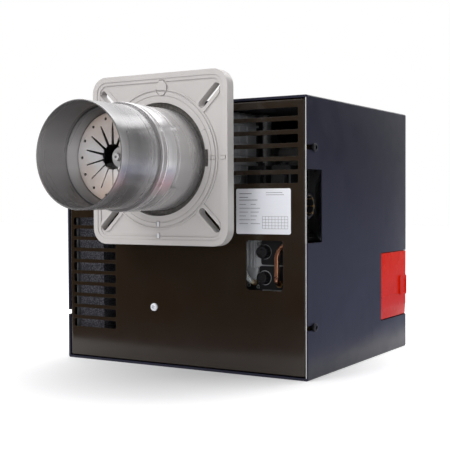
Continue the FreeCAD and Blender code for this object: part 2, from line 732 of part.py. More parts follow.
def head_spider():
    """Carrier that holds the disc, the electrodes and the setting rod on the lance."""
    y = (SPIDER_Y, SPIDER_Y + SPIDER_THICK)
    hub = rod(SPIDER_HUB_R, (0, y[0], 0), (0, 1, 0), SPIDER_THICK)
    arms = []
    for degrees in strut_angles():
        arm = block((0, STRUT_PITCH_R + 2 * STRUT_R), y, (-SPIDER_ARM / 2, SPIDER_ARM / 2))
        arm.rotate(Vector(0, 0, 0), Vector(0, 1, 0), -degrees)
        arms.append(arm)
    reach = math.hypot(SETTING_ROD_X, SETTING_ROD_Z)
    lug = block((0, reach + SPIDER_LUG_END), y, (-SPIDER_LUG / 2, SPIDER_LUG / 2))
    lug.rotate(Vector(0, 0, 0), Vector(0, 1, 0), -math.degrees(math.atan2(SETTING_ROD_Z, SETTING_ROD_X)))
    half = ELECTRODE_SPREAD + SPIDER_SIDE
    plate = block((-half, half), y, (ELECTRODE_HEIGHT - SPIDER_SEAT, ELECTRODE_HEIGHT + SPIDER_SEAT))
    probe = block((PROBE_X - SPIDER_SEAT, PROBE_X + SPIDER_SEAT), y, (0, PROBE_Z + SPIDER_SEAT))
    body = joined([hub, lug, plate, probe] + arms)
    cuts = [rod(LANCE_R, (0, y[0] - 1, 0), (0, 1, 0), SPIDER_THICK + 2)]
    cuts.append(rod(SETTING_ROD_R, (SETTING_ROD_X, y[0] - 1, SETTING_ROD_Z), (0, 1, 0), SPIDER_THICK + 2))
    for x, z in ceramic_places():
        cuts.append(rod(CERAMIC_R, (x, y[0] - 1, z), (0, 1, 0), SPIDER_THICK + 2))
    return body.cut(cuts)


def ceramic_places():
    """Centres of the two ignition ceramics and of the flame probe."""
    return [(-ELECTRODE_SPREAD, ELECTRODE_HEIGHT), (ELECTRODE_SPREAD, ELECTRODE_HEIGHT), (PROBE_X, PROBE_Z)]


def electrode(x, z):
    """Ceramic body with its rod, which stops short of the disc."""
    front = SPIDER_Y - CERAMIC_AHEAD
    ceramic = rod(CERAMIC_R, (x, front, z), (0, 1, 0), CERAMIC_LENGTH)
    length = ELECTRODE_REACH + CERAMIC_LENGTH + ELECTRODE_TAIL
    wire = rod(ELECTRODE_R, (x, front - ELECTRODE_REACH, z), (0, 1, 0), length)
    return joined([ceramic, wire])


def electrodes():
    """Two spark electrodes and the flame probe, behind the disc."""
    return group([electrode(x, z) for x, z in ceramic_places()])


def setting_rod():
    """Rod that moves the head, with a scale sleeve behind the rear plate."""
    end = HOUSING_BACK + REAR_PLATE_THICK + SETTING_ROD_TAIL
    stem = rod(SETTING_ROD_R, (SETTING_ROD_X, SPIDER_Y, SETTING_ROD_Z), (0, 1, 0), end - SPIDER_Y)
    grip = rod(SETTING_GRIP_R, (SETTING_ROD_X, end, SETTING_ROD_Z), (0, 1, 0), SETTING_GRIP)
    return joined([stem, grip])


# Mounting flange

def flange_slots():
    """Four diagonal stud slots."""
    x = (FLANGE_SLOT_IN_R, FLANGE_SLOT_OUT_R)
    z = (-FLANGE_SLOT_WIDTH / 2, FLANGE_SLOT_WIDTH / 2)
    slots = []
    for degrees in FLANGE_SLOT_DEG:
        slot = rounded_block(x, (-1, FLANGE_THICK + 1), z, FLANGE_SLOT_WIDTH * FLANGE_SLOT_ROUND, (0, 1, 0))
        slot.rotate(Vector(0, 0, 0), Vector(0, 1, 0), -degrees)
        slots.append(slot)
    return slots


def flange_webs():
    """Raised strips round the stud slots."""
    x = (FLANGE_SLOT_IN_R - FLANGE_WEB_IN, FLANGE_SLOT_OUT_R + FLANGE_WEB_OUT)
    half = FLANGE_SLOT_WIDTH / 2 + FLANGE_WEB
    webs = []
    for degrees in FLANGE_SLOT_DEG:
        web = block(x, (0, FLANGE_RIM_STEP), (-half, half))
        web.rotate(Vector(0, 0, 0), Vector(0, 1, 0), -degrees)
        webs.append(web)
    return webs


def mounting_flange():
    """Cast square flange with a split clamping hub behind it."""
    half_x = FLANGE_WIDTH / 2
    half_z = FLANGE_HEIGHT / 2
    thick = (0, FLANGE_THICK)
    plate = rounded_block((-half_x, half_x), thick, (-half_z, half_z), FLANGE_CORNER_R, (0, 1, 0))
    inner_x = half_x - FLANGE_RIM
    inner_z = half_z - FLANGE_RIM
    recess = rounded_block((-inner_x, inner_x), (-1, FLANGE_RIM_STEP), (-inner_z, inner_z),
                           FLANGE_CORNER_R - FLANGE_RIM, (0, 1, 0))
    boss = rod(FLANGE_RING_R, (0, 0, 0), (0, 1, 0), FLANGE_RIM_STEP)
    pad_x = (PAD_X - PAD_HALF[0], PAD_X + PAD_HALF[0])
    pad_z = (PAD_Z - PAD_HALF[1], PAD_Z + PAD_HALF[1])
    boss = boss.fuse(block(pad_x, (0, FLANGE_RIM_STEP), pad_z))
    recess = recess.cut([boss] + flange_webs())
    groove_in = FLANGE_RING_R - FLANGE_RING_WIDTH
    groove = ring(FLANGE_RING_R, groove_in, (0, -1, 0), (0, 1, 0), 1 + FLANGE_RIM_STEP)
    hub = rod(HUB_R, (0, FLANGE_THICK, 0), (0, 1, 0), HUB_LENGTH)
    low = -HUB_R - CLAMP_LUG_DROP
    hub_y = (FLANGE_THICK + CLAMP_LUG_SETBACK, FLANGE_THICK + HUB_LENGTH)
    lugs = block((-clamp_half(), clamp_half()), hub_y, (low, -HUB_R + CLAMP_LUG_ROOT))
    body = joined([plate.cut([recess, groove]), hub, lugs])
    cuts = [rod(FLANGE_BORE_R, (0, -1, 0), (0, 1, 0), 1 + FLANGE_BORE_DEPTH)]
    cuts.append(rod(REAR_TUBE_R + MOVING_GAP, (0, -1, 0), (0, 1, 0), FLANGE_THICK + HUB_LENGTH + 2))
    split_y = (FLANGE_THICK + 1, hub_y[1] + 1)
    cuts.append(block((-CLAMP_GAP / 2, CLAMP_GAP / 2), split_y, (low - 1, -REAR_TUBE_R + 1)))
    x, y, z = clamp_bolt_start()
    cuts.append(rod(CLAMP_BOLT_R + SLIP_GAP, (x - 1, y, z), (1, 0, 0), 2 * clamp_half() + 2))
    return body.cut(cuts + flange_slots())


def clamp_half():
    """Half the width of the two clamp lugs and the gap between them."""
    return CLAMP_LUG + CLAMP_GAP / 2


def clamp_bolt_start():
    """Left end of the clamp lugs, on the bolt's axis."""
    y = FLANGE_THICK + (HUB_LENGTH + CLAMP_LUG_SETBACK) / 2
    return (-clamp_half(), y, -HUB_R - CLAMP_LUG_DROP / 2)


def flange_clamp_bolt():
    """Bolt and nut that close the split hub on the tube."""
    x, y, z = clamp_bolt_start()
    shank = rod(CLAMP_BOLT_R, (x, y, z), (1, 0, 0), 2 * clamp_half() + CLAMP_BOLT_END)
    head = hex_head(CLAMP_HEAD_R, (x, y, z), (-1, 0, 0), CLAMP_HEAD)
    nut = hex_head(CLAMP_HEAD_R, (clamp_half(), y, z), (1, 0, 0), CLAMP_NUT)
    return joined([shank, head, nut])


def tube_seal():
    """Fibre rope seal at the bottom of the flange's bore."""
    y = FLANGE_BORE_DEPTH - SEAL_LENGTH
    return ring(FLANGE_BORE_R, REAR_TUBE_R + MOVING_GAP, (0, y, 0), (0, 1, 0), SEAL_LENGTH)


# Housing

def housing_edge():
    """Ends of the housing's rear edge and of the plate on it, across and upright."""
    x = (HOUSING_X[0] - HOUSING_FLANGE, HOUSING_X[1] + HOUSING_FLANGE)
    return x, (HOUSING_Z[0] - HOUSING_FLANGE, HOUSING_Z[1] + HOUSING_FLANGE_TOP)


def plenum_housing():
    """Cast box behind the panel that carries the tube and everything behind it."""
    x, z = HOUSING_X, HOUSING_Z
    y = (PANEL_BACK, HOUSING_BACK)
    shell = rounded_block(x, y, z, HOUSING_CORNER_R, (0, 1, 0))
    wall = HOUSING_WALL
    inner_x = (x[0] + wall, x[1] - wall)
    inner_z = (z[0] + wall, z[1] - wall)
    inside = rounded_block(inner_x, (y[0] + wall, y[1] + 1), inner_z, HOUSING_INNER_R, (0, 1, 0))
    edge_x, edge_z = housing_edge()
    edge = rounded_block(edge_x, (y[1] - HOUSING_FLANGE_THICK, y[1]), edge_z, HOUSING_FLANGE_R, (0, 1, 0))
    ribs = []
    for k in range(HOUSING_RIBS):
        at = z[0] + (k + 0.75) * (z[1] - z[0]) / (HOUSING_RIBS + 0.5)
        rib_y = (y[0] + HOUSING_RIB_SETBACK, y[1] - 1)
        ribs.append(block((x[1] - 1, x[1] + HOUSING_RIB), rib_y, (at, at + HOUSING_RIB)))
    depth = REAR_TUBE_BACK - y[0] + 1
    collar = rod(REAR_TUBE_R + HOUSING_COLLAR, (0, y[0], 0), (0, 1, 0), depth)
    body = joined([shell, edge, collar] + ribs)
    cuts = [inside, rod(REAR_TUBE_R + SLIP_GAP, (0, y[0] - 1, 0), (0, 1, 0), depth + 2)]
    cuts.append(rod(GAS_PIPE_R + SLIP_GAP, (0, GAS_PIPE_Y, z[0] - 1), (0, 0, 1), wall + 2))
    return body.cut(cuts)


def scroll_radius(angle):
    """Radius of the scroll's inner wall, growing with the angle past the tongue."""
    share = (angle - SCROLL_TONGUE_DEG) / (SCROLL_END_DEG - SCROLL_TONGUE_DEG)
    return SCROLL_START_R + share * (SCROLL_END_R - SCROLL_START_R)


def scroll_point(angle, extra, x):
    """Point on the scroll: 0 is the front of the fan, 90 its underside, 180 its rear."""
    radius = scroll_radius(angle) + extra
    a = math.radians(angle)
    return Vector(x, FAN_Y - radius * math.cos(a), FAN_Z - radius * math.sin(a))


def scroll_solid(x, extra):
    """Solid that fills the scroll out to its wall, with the outlet duct to the plate."""
    span = SCROLL_END_DEG - SCROLL_TONGUE_DEG
    angles = [SCROLL_TONGUE_DEG + span * k / SCROLL_STEPS for k in range(SCROLL_STEPS + 1)]
    points = [scroll_point(a, extra, x[0]) for a in angles]
    centre = Vector(x[0], FAN_Y, FAN_Z)
    curve = Part.BSplineCurve()
    curve.interpolate(points)
    edges = [curve.toShape(), Part.makeLine(points[-1], centre), Part.makeLine(centre, points[0])]
    spiral = Part.Face(Part.Wire(edges)).extrude(Vector(x[1] - x[0], 0, 0))
    low, high = outlet_z()
    duct = block(x, (HOUSING_BACK + REAR_PLATE_THICK, FAN_Y), (low - extra, high + extra))
    throat = block(x, (points[0].y, FAN_Y), (FAN_Z, low))
    return joined([spiral, duct, throat])


def outlet_z():
    """Lower and upper edge of the scroll's outlet."""
    return (scroll_point(SCROLL_TONGUE_DEG, 0, 0).z, scroll_point(SCROLL_END_DEG, 0, 0).z)


def fan_scroll():
    """Cast scroll with its motor-side wall, open towards the intake side."""
    outer = scroll_solid((SCROLL_X[0], SCROLL_X[1] + SCROLL_WALL), SCROLL_WALL)
    inner = scroll_solid((SCROLL_X[0] - 1, SCROLL_X[1]), 0)
    hole = rod(SHAFT_R + SHAFT_CLEARANCE, (SCROLL_X[1] - 1, FAN_Y, FAN_Z), (1, 0, 0), SCROLL_WALL + 2)
    return outer.cut([inner, hole])


def scroll_cover():
    """Intake-side wall of the scroll, with the bell mouth in its round air inlet."""
    x = (SCROLL_X[0] - SCROLL_WALL, SCROLL_X[0])
    wall = scroll_solid(x, SCROLL_WALL)
    hole = rod(INLET_R + INLET_SEAT, (x[0] - 1, FAN_Y, FAN_Z), (1, 0, 0), SCROLL_WALL + 2)
    return group([wall.cut(hole), inlet_ring()])


def inlet_ring():
    """Bell mouth that guides the air into the fan wheel."""
    sheet = INLET_SHEET
    tip = INLET_RING_LENGTH - INLET_LIP
    seat = INLET_R + INLET_SEAT
    profile = [(0, seat), (0, INLET_RING_R), (-sheet, INLET_RING_R), (-sheet, INLET_R),
               (tip, INLET_R - sheet), (tip, INLET_R), (SCROLL_WALL, INLET_R + sheet), (SCROLL_WALL, seat)]
    return turned(profile, (SCROLL_X[0] - SCROLL_WALL, FAN_Y, FAN_Z), (1, 0, 0))


def rear_plate():
    """Plate that closes the housing and carries the scroll and the setting rod."""
    x, z = housing_edge()
    y = (HOUSING_BACK, HOUSING_BACK + REAR_PLATE_THICK)
    plate = rounded_block(x, y, z, HOUSING_FLANGE_R, (0, 1, 0))
    outlet = block(SCROLL_X, (y[0] - 1, y[1] + 1), outlet_z())
    start = (SETTING_ROD_X, y[0] - 1, SETTING_ROD_Z)
    rod_hole = rod(SETTING_ROD_R + MOVING_GAP, start, (0, 1, 0), REAR_PLATE_THICK + 2)
    return plate.cut([outlet, rod_hole])


def housing_bolts():
    """Bolts round the rear plate."""
    y = HOUSING_BACK + REAR_PLATE_THICK
    low = HOUSING_Z[0] + HOUSING_BOLT_UP
    places = [(HOUSING_X[0] - HOUSING_BOLT_OUT, low), (HOUSING_BOLT_MIDDLE_X, low),
              (HOUSING_X[1] + HOUSING_BOLT_OUT, low),
              (HOUSING_X[1] - HOUSING_TOP_BOLT_INSET[0], HOUSING_Z[1] - HOUSING_TOP_BOLT_INSET[1])]
    return group([hex_head(HOUSING_BOLT_R, (x, y, z), (0, 1, 0), HOUSING_BOLT) for x, z in places])


# Fan and motor

def fan_wheel():
    """Forward-curved wheel on its hub."""
    x0, x1 = FAN_X
    back = rod(FAN_R, (x1 - FAN_SHEET, FAN_Y, FAN_Z), (1, 0, 0), FAN_SHEET)
    rim = ring(FAN_R, FAN_R - FAN_RIM, (x0, FAN_Y, FAN_Z), (1, 0, 0), FAN_SHEET)
    hub = rod(FAN_HUB_R, (x1 - FAN_HUB_LENGTH, FAN_Y, FAN_Z), (1, 0, 0), FAN_HUB_LENGTH)
    blades = []
    inner = FAN_R - FAN_BLADE_DEPTH
    for k in range(FAN_BLADES):
        blade = block((x0, x1), (inner, FAN_R - FAN_BLADE_INSET), (0, FAN_BLADE_SHEET))
        blade.rotate(Vector(0, inner, 0), Vector(1, 0, 0), FAN_BLADE_DEG)
        blade.rotate(Vector(0, 0, 0), Vector(1, 0, 0), k * 360.0 / FAN_BLADES)
        blade.translate(Vector(0, FAN_Y, FAN_Z))
        blades.append(blade)
    limit = rod(FAN_R, (x0, FAN_Y, FAN_Z), (1, 0, 0), x1 - x0)
    wheel = back.multiFuse([rim, hub] + [b.common(limit) for b in blades])
    return wheel.cut(rod(SHAFT_R, (x0 - 1, FAN_Y, FAN_Z), (1, 0, 0), x1 - x0 + 2))


def motor_span():
    """Ends of the motor's housing along the shaft."""
    start = SCROLL_X[1] + SCROLL_WALL + SHIELD_THICK
    return (start, start + MOTOR_LENGTH)


def motor_shaft():
    """Shaft with the rotor's core."""
    a, b = motor_span()
    start = FAN_X[1] - SHAFT_REACH
    stem = rod(SHAFT_R, (start, FAN_Y, FAN_Z), (1, 0, 0), b + SHIELD_THICK + SHAFT_TAIL - start)
    middle = (a + b) / 2 - ROTOR_LENGTH / 2
    core = rod(ROTOR_R, (middle, FAN_Y, FAN_Z), (1, 0, 0), ROTOR_LENGTH)
    return joined([stem, core])


def motor_stator():
    """Wound stator pressed into the motor housing."""
    a, b = motor_span()
    middle = (a + b) / 2 - ROTOR_LENGTH / 2
    return ring(MOTOR_R - MOTOR_WALL, STATOR_BORE, (middle, FAN_Y, FAN_Z), (1, 0, 0), ROTOR_LENGTH)


def motor_housing():
    """Ribbed aluminium tube of the motor."""
    a, b = motor_span()
    shell = rod(MOTOR_R, (a, FAN_Y, FAN_Z), (1, 0, 0), b - a)
    x = (a + MOTOR_FIN_SETBACK, b - MOTOR_FIN_SETBACK)
    fins = []
    for k in range(MOTOR_FINS):
        fin = block(x, (MOTOR_R - 1, MOTOR_R + MOTOR_FIN_HEIGHT), (-MOTOR_FIN / 2, MOTOR_FIN / 2))
        fin.rotate(Vector(0, 0, 0), Vector(1, 0, 0), k * 360.0 / MOTOR_FINS)
        fin.translate(Vector(0, FAN_Y, FAN_Z))
        fins.append(fin)
    body = shell.multiFuse(fins)
    return body.cut(rod(MOTOR_R - MOTOR_WALL, (a - 1, FAN_Y, FAN_Z), (1, 0, 0), b - a + 2))


def shield(x):
    """End shield with the seat of one bearing, between x and x plus its thickness."""
    plate = rod(MOTOR_R + MOTOR_FIN_HEIGHT, (x, FAN_Y, FAN_Z), (1, 0, 0), SHIELD_THICK)
    seat = rod(BEARING_R, (x - 1, FAN_Y, FAN_Z), (1, 0, 0), SHIELD_THICK + 2)
    return plate.cut(seat)


def motor_end_shields():
    """End shields on the fan side and on the free side."""
    a, b = motor_span()
    return group([shield(a - SHIELD_THICK), shield(b)])


def motor_bearings():
    """Two ball bearings, one in each end shield."""
    a, b = motor_span()
    inset = (SHIELD_THICK - BEARING_WIDTH) / 2
    pair = []
    for x in (a - SHIELD_THICK + inset, b + inset):
        pair.append(ring(BEARING_R, SHAFT_R + RUNNING_GAP, (x, FAN_Y, FAN_Z), (1, 0, 0), BEARING_WIDTH))
    return group(pair)


def run_capacitor():
    """Capacitor strapped on top of the motor."""
    a, b = motor_span()
    z = FAN_Z + MOTOR_R + MOTOR_FIN_HEIGHT + CAPACITOR_R - CAPACITOR_SINK
    body = rod(CAPACITOR_R, (a + CAPACITOR_SETBACK, FAN_Y, z), (1, 0, 0), CAPACITOR_LENGTH)
    foot_y = (FAN_Y - CAPACITOR_FOOT_HALF, FAN_Y + CAPACITOR_FOOT_HALF)
    foot_z = (z - CAPACITOR_R - CAPACITOR_FOOT_DROP, z - CAPACITOR_FOOT_TOP)
    foot = block((a + CAPACITOR_FOOT_SETBACK, a + CAPACITOR_LENGTH), foot_y, foot_z)
    saddle = rod(MOTOR_R + MOTOR_FIN_HEIGHT + SLIP_GAP, (a, FAN_Y, FAN_Z), (1, 0, 0), b - a)
    return joined([body, foot]).cut(saddle)


# Air intake

def damper_square(half):
    """Ends of a square round the damper's centre, across and upright."""
    return (DAMPER_X - half, DAMPER_X + half), (DAMPER_Z - half, DAMPER_Z + half)


def intake_silencer():
    """Sheet duct behind the left louvres, open to the front."""
    x, y, z = SILENCER_X, SILENCER_Y, SILENCER_Z
    s = SILENCER_SHEET
    shell = block(x, y, z).cut(block((x[0] + s, x[1] - s), (y[0] - 1, y[1] - s), (z[0] + s, z[1] - s)))
    across, upright = damper_square(DAMPER_SIZE / 2)
    return shell.cut(block(across, (y[1] - s - 1, y[1] + 1), upright))


def silencer_foam():
    """Thick foam on the outer wall of the duct and a thin liner on the inner wall."""
    s = SILENCER_SHEET + MOVING_GAP
    y = (SILENCER_Y[0] + FOAM_SETBACK, SILENCER_Y[1] - FOAM_END)
    z = (SILENCER_Z[0] + s, SILENCER_Z[1] - s)
    thick = block((SILENCER_X[0] + s, FOAM_INNER_X), y, z)
    thin = block((SILENCER_X[1] - s - FOAM_LINER, SILENCER_X[1] - s), y, z)
    return group([thick, thin])


def damper_frame():
    """Square neck of the elbow that holds the damper's shaft."""
    half = DAMPER_SIZE / 2
    wide = half + DAMPER_FRAME_WALL
    y = (SILENCER_Y[1], SILENCER_Y[1] + DAMPER_FRAME)
    across, upright = damper_square(wide)
    frame = block(across, y, upright)
    across, upright = damper_square(half)
    hole = block(across, (y[0] - 1, y[1] + 1), upright)
    low = DAMPER_Z - wide - 1
    shaft = rod(DAMPER_SHAFT_R + RUNNING_GAP, (DAMPER_X, damper_y(), low), (0, 0, 1), 2 * wide + 2)
    return frame.cut([hole, shaft])


def damper_y():
    """Depth of the damper's shaft."""
    return SILENCER_Y[1] + DAMPER_FRAME / 2


def damper_flap():
    """Flap that closes the intake when the burner stands still."""
    half = DAMPER_SIZE / 2 - DAMPER_GAP
    y = damper_y()
    across, upright = damper_square(half)
    leaf = block(across, (y - DAMPER_SHEET / 2, y + DAMPER_SHEET / 2), upright)
    sleeve = rod(DAMPER_SHAFT_R + DAMPER_SLEEVE, (DAMPER_X, y, DAMPER_Z - half), (0, 0, 1), 2 * half)
    bore = rod(DAMPER_SHAFT_R, (DAMPER_X, y, DAMPER_Z - half - 1), (0, 0, 1), 2 * half + 2)
    return joined([leaf, sleeve]).cut(bore)


def servo_z():
    """Underside of the damper servomotor."""
    return ELBOW_Z[1] + SERVO_LIFT


def damper_shaft():
    """Upright shaft of the flap, with the clamp coupling of the servomotor at its top."""
    low = DAMPER_Z - DAMPER_SIZE / 2 - DAMPER_FRAME_WALL
    top = servo_z() - MOVING_GAP
    stem = rod(DAMPER_SHAFT_R, (DAMPER_X, damper_y(), low), (0, 0, 1), top - low)
    start = (DAMPER_X, damper_y(), top - DAMPER_COUPLING)
    coupling = ring(DAMPER_SHAFT_R + DAMPER_COUPLING_WALL, DAMPER_SHAFT_R, start, (0, 0, 1), DAMPER_COUPLING)
    return group([stem, coupling])


def damper_servo():
    """Servomotor on its post above the damper frame."""
    wide, deep, tall = SERVO_SIZE
    z = servo_z()
    y = damper_y()
    across = (DAMPER_X - wide / 2, DAMPER_X + wide / 2)
    case = rounded_block(across, (y - deep / 2, y + deep / 2), (z, z + tall), SERVO_CORNER_R, (0, 0, 1))
    base = DAMPER_Z + DAMPER_SIZE / 2 + DAMPER_FRAME_WALL
    posts = []
    for side in (-1, 1):
        x = DAMPER_X + side * SERVO_POST_X
        posts.append(rod(SERVO_POST_R, (x, y, base), (0, 0, 1), z - base))
    return joined([case] + posts)


def inlet_elbow():
    """Duct from the damper to the fan's inlet."""
    x, z = ELBOW_X, ELBOW_Z
    w = ELBOW_WALL
    y = (SILENCER_Y[1] + DAMPER_FRAME, ELBOW_BACK)
    shell = rounded_block(x, y, z, ELBOW_CORNER_R, (1, 0, 0))
    inside = block((x[0] + w, x[1] - w), (y[0] + w, y[1] - w), (z[0] + w, z[1] - w))
    across, upright = damper_square(DAMPER_SIZE / 2)
    port = block(across, (y[0] - 1, y[0] + w + 1), upright)
    eye = rod(INLET_RING_R + ELBOW_EYE_GAP, (x[1] - w - 1, FAN_Y, FAN_Z), (1, 0, 0), w + 2)
    return joined([shell.cut([inside, port, eye]), damper_frame()])


# Gas train

def gas_valve_block():
    """Die-cast body of the double gas valve with its regulator."""
    x, y, z = VALVE_X, VALVE_Y, VALVE_Z
    casting = rounded_block(x, y, z, VALVE_CORNER_R, (0, 0, 1))
    rib_z = (z[0] + VALVE_RIB_INSET[0], z[1] - VALVE_RIB_INSET[1])
    ribs = []
    for k in range(VALVE_RIBS):
        at = x[0] + VALVE_RIB_START + k * VALVE_RIB_PITCH
        ribs.append(block((at, at + VALVE_RIB_WIDTH), (y[0] - VALVE_RIB, y[0] + 1), rib_z))
    bosses = []
    for low, radius in zip(KNOB_Z, KNOB_R):
        bosses.append(rod(radius + KNOB_BOSS, (KNOB_X, y[0] - VALVE_RIB, low), (0, 1, 0), VALVE_RIB + 1))
    spindles = [rod(SPINDLE_R, (KNOB_X, y[0], low), (0, -1, 0), KNOB_LENGTH) for low in KNOB_Z]
    start = (x[0] + 1, GAS_PIPE_Y, GAS_PIPE_Z)
    outlet = rod(GAS_PIPE_R + VALVE_OUTLET_WALL, start, (-1, 0, 0), VALVE_OUTLET + 1)
    neck = GAS_SOCKET_R + VALVE_INLET_WALL
    inlet = rod(neck, (x[1] - neck, GAS_INLET_Y, GAS_INLET_Z), (1, 0, 0), neck + VALVE_INLET)
    body = joined([casting, outlet, inlet] + ribs + bosses + spindles)
    start = (x[0] - VALVE_OUTLET - 1, GAS_PIPE_Y, GAS_PIPE_Z)
    gallery = rod(GAS_PIPE_R - GAS_PIPE_WALL, start, (1, 0, 0), VALVE_GALLERY)
    entry = rod(GAS_ENTRY_R, (x[1] + VALVE_INLET + 1, GAS_INLET_Y, GAS_INLET_Z), (-1, 0, 0), GAS_ENTRY)
    return body.cut([gallery, entry])


def pilot_port():
    """Underside of the boss on the inlet socket that feeds the copper pipe."""
    return (VALVE_X[1] + PILOT_BOSS_X, GAS_INLET_Y, GAS_INLET_Z - GAS_SOCKET_R - PILOT_BOSS)


def gas_inlet_socket():
    """Threaded brass socket behind the side notch."""
    start = VALVE_X[1] + VALVE_INLET
    body = rod(GAS_SOCKET_R, (start, GAS_INLET_Y, GAS_INLET_Z), (1, 0, 0), GAS_SOCKET_LENGTH)
    x, y, z = pilot_port()
    boss = rod(PILOT_BOSS_R, (x, y, z), (0, 0, 1), GAS_INLET_Z - z)
    bore = rod(GAS_THREAD_R, (start - 1, GAS_INLET_Y, GAS_INLET_Z), (1, 0, 0), GAS_SOCKET_LENGTH + 2)
    return body.fuse(boss).cut(bore)


def knob(k):
    """Adjusting knob on the front of the valve block."""
    front = VALVE_Y[0] - VALVE_RIB - MOVING_GAP
    body = rod(KNOB_R[k], (KNOB_X, front, KNOB_Z[k]), (0, -1, 0), KNOB_LENGTH)
    rim = [e for e in body.Edges if e.BoundBox.YLength < 1e-6 and e.BoundBox.YMin < front - 1]
    body = body.makeChamfer(KNOB_CHAMFER, rim)
    reach = KNOB_R[k] + KNOB_GRIP_OUT
    grips = []
    for grip in range(KNOB_GRIPS):
        angle = math.radians(grip * 360 / KNOB_GRIPS)
        at = (KNOB_X + reach * math.cos(angle), front + 1, KNOB_Z[k] + reach * math.sin(angle))
        grips.append(rod(KNOB_GRIP_R, at, (0, -1, 0), KNOB_LENGTH + 2))
    depth = KNOB_LENGTH - KNOB_FACE
    bore = rod(SPINDLE_R + RUNNING_GAP, (KNOB_X, front + 1, KNOB_Z[k]), (0, -1, 0), depth + 1)
    return body.cut(grips + [bore])


def regulator_knob():
    """Upper knob, for the main gas pressure."""
    return knob(0)


def start_gas_knob():
    """Lower knob, for the start gas rate."""
    return knob(1)


def valve_coils():
    """Two solenoid coils on the valve block."""
    coils = []
    y = VALVE_Y[0] + COIL_HALF + COIL_SETBACK
    top = VALVE_Z[1] + COIL_HEIGHT
    for x in (VALVE_X[0] + COIL_HALF + COIL_INSET[0], VALVE_X[1] - COIL_HALF - COIL_INSET[1]):
        sides = ((x - COIL_HALF, x + COIL_HALF), (y - COIL_HALF, y + COIL_HALF))
        can = rounded_block(*sides, (VALVE_Z[1], top), COIL_CORNER_R, (0, 0, 1))
        nut = hex_head(COIL_NUT_R, (x, y, top), (0, 0, 1), COIL_NUT)
        coils.append(joined([can, nut]))
    return group(coils)


def gas_pipe():
    """Pipe from the valve block to the underside of the housing."""
    lead = (VALVE_X[0] - VALVE_OUTLET, GAS_PIPE_Y, GAS_PIPE_Z)
    corner = (0, GAS_PIPE_Y, GAS_PIPE_Z)
    end = (0, GAS_PIPE_Y, HOUSING_Z[0])
    return route([lead, corner, end], GAS_PIPE_R, GAS_PIPE_WALL)


def gas_elbow():
    """Elbow inside the housing whose socket guides the sliding lance."""
    bore_r = GAS_PIPE_R - GAS_PIPE_WALL
    front = GAS_PIPE_Y - SLEEVE_AHEAD
    foot = ring(GAS_PIPE_R, bore_r, (0, GAS_PIPE_Y, HOUSING_Z[0]), (0, 0, 1), -HOUSING_Z[0])
    sleeve = rod(LANCE_R + SLEEVE_WALL, (0, front, 0), (0, 1, 0), SLEEVE_LENGTH)
    socket = rod(LANCE_R + RUNNING_GAP, (0, front - 1, 0), (0, 1, 0), SLEEVE_SOCKET + 1)
    well = rod(bore_r, (0, GAS_PIPE_Y, HOUSING_Z[0] - 1), (0, 0, 1), 1 - HOUSING_Z[0])
    return foot.fuse(sleeve).cut([socket, well])


def copper_pipe():
    """Thin copper pipe from the inlet socket to the lower port of the valve block."""
    points = steps_from((VALVE_X[1], VALVE_Y[0], VALVE_Z[0]), COPPER_FROM_VALVE)
    points += steps_from(pilot_port(), COPPER_TO_PORT)
    return route(points, COPPER_PIPE_R)


def gas_pressure_switch():
    """Gas pressure switch on top of the valve block, behind the coils."""
    wide, deep, tall = GAS_SWITCH_SIZE
    x = VALVE_X[0] + GAS_SWITCH_INSET
    y = VALVE_Y[1] - GAS_SWITCH_SETBACK - deep
    z = (VALVE_Z[1], VALVE_Z[1] + tall)
    return rounded_block((x, x + wide), (y, y + deep), z, GAS_SWITCH_CORNER_R, (0, 0, 1))


def pressure_hose():
    """Clear silicone hose from the regulator to the housing's pressure tapping."""
    points = steps_from((VALVE_X[0], VALVE_Y[0], VALVE_Z[0]), HOSE_FROM_VALVE)
    points += steps_from((HOUSING_X[1], VALVE_Y[0], HOUSING_Z[0]), HOSE_TO_HOUSING)
    return route(points, HOSE_R)


def valve_shelf():
    """Sheet bracket between the tray and the valve block."""
    x = (VALVE_X[0] + SHELF_SIDE, VALVE_X[1] - SHELF_SIDE)
    z = TRAY_Z + TRAY_SHEET
    y = (VALVE_Y[0] + SHELF_INSET, VALVE_Y[1] - SHELF_INSET)
    foot = block(x, y, (z, z + BRACKET_SHEET))
    post = block(x, (y[1] - BRACKET_SHEET, y[1]), (z, VALVE_Z[0]))
    shelf = block(x, y, (VALVE_Z[0] - BRACKET_SHEET, VALVE_Z[0]))
    return joined([foot, post, shelf])


# Controls

def equipment_tray():
    """Sheet tray behind the panel's lower edge."""
    x = TRAY_X
    y = (PANEL_BACK, TRAY_BACK)
    z = (TRAY_Z, TRAY_Z + TRAY_SHEET)
    floor = block(x, y, z)
    front = block(x, (y[0], y[0] + TRAY_SHEET), (z[0], FRONT_SCREW_Z + TRAY_ABOVE_SCREW))
    side = block((x[1] - TRAY_SHEET, x[1]), y, (z[0], z[0] + TRAY_EDGE))
    body = joined([floor, front, side])
    start = (FRONT_SCREW_X, y[0] - 1, FRONT_SCREW_Z)
    return body.cut(rod(FRONT_NUT_R + FRONT_NUT_GAP, start, (0, 1, 0), TRAY_SHEET + 2))


def ignition_transformer():
    """Potted ignition transformer on the tray."""
    z = TRAY_Z + TRAY_SHEET
    top = z + TRANSFORMER_HEIGHT
    case = rounded_block(TRANSFORMER_X, TRANSFORMER_Y, (z, top), TRANSFORMER_CORNER_R, (0, 0, 1))
    posts = []
    for x in LEAD_POST_X:
        posts.append(rod(LEAD_POST_R, (x, TRANSFORMER_Y[0] + 1, z + LEAD_HEIGHT), (0, -1, 0), LEAD_POST))
    return joined([case] + posts)


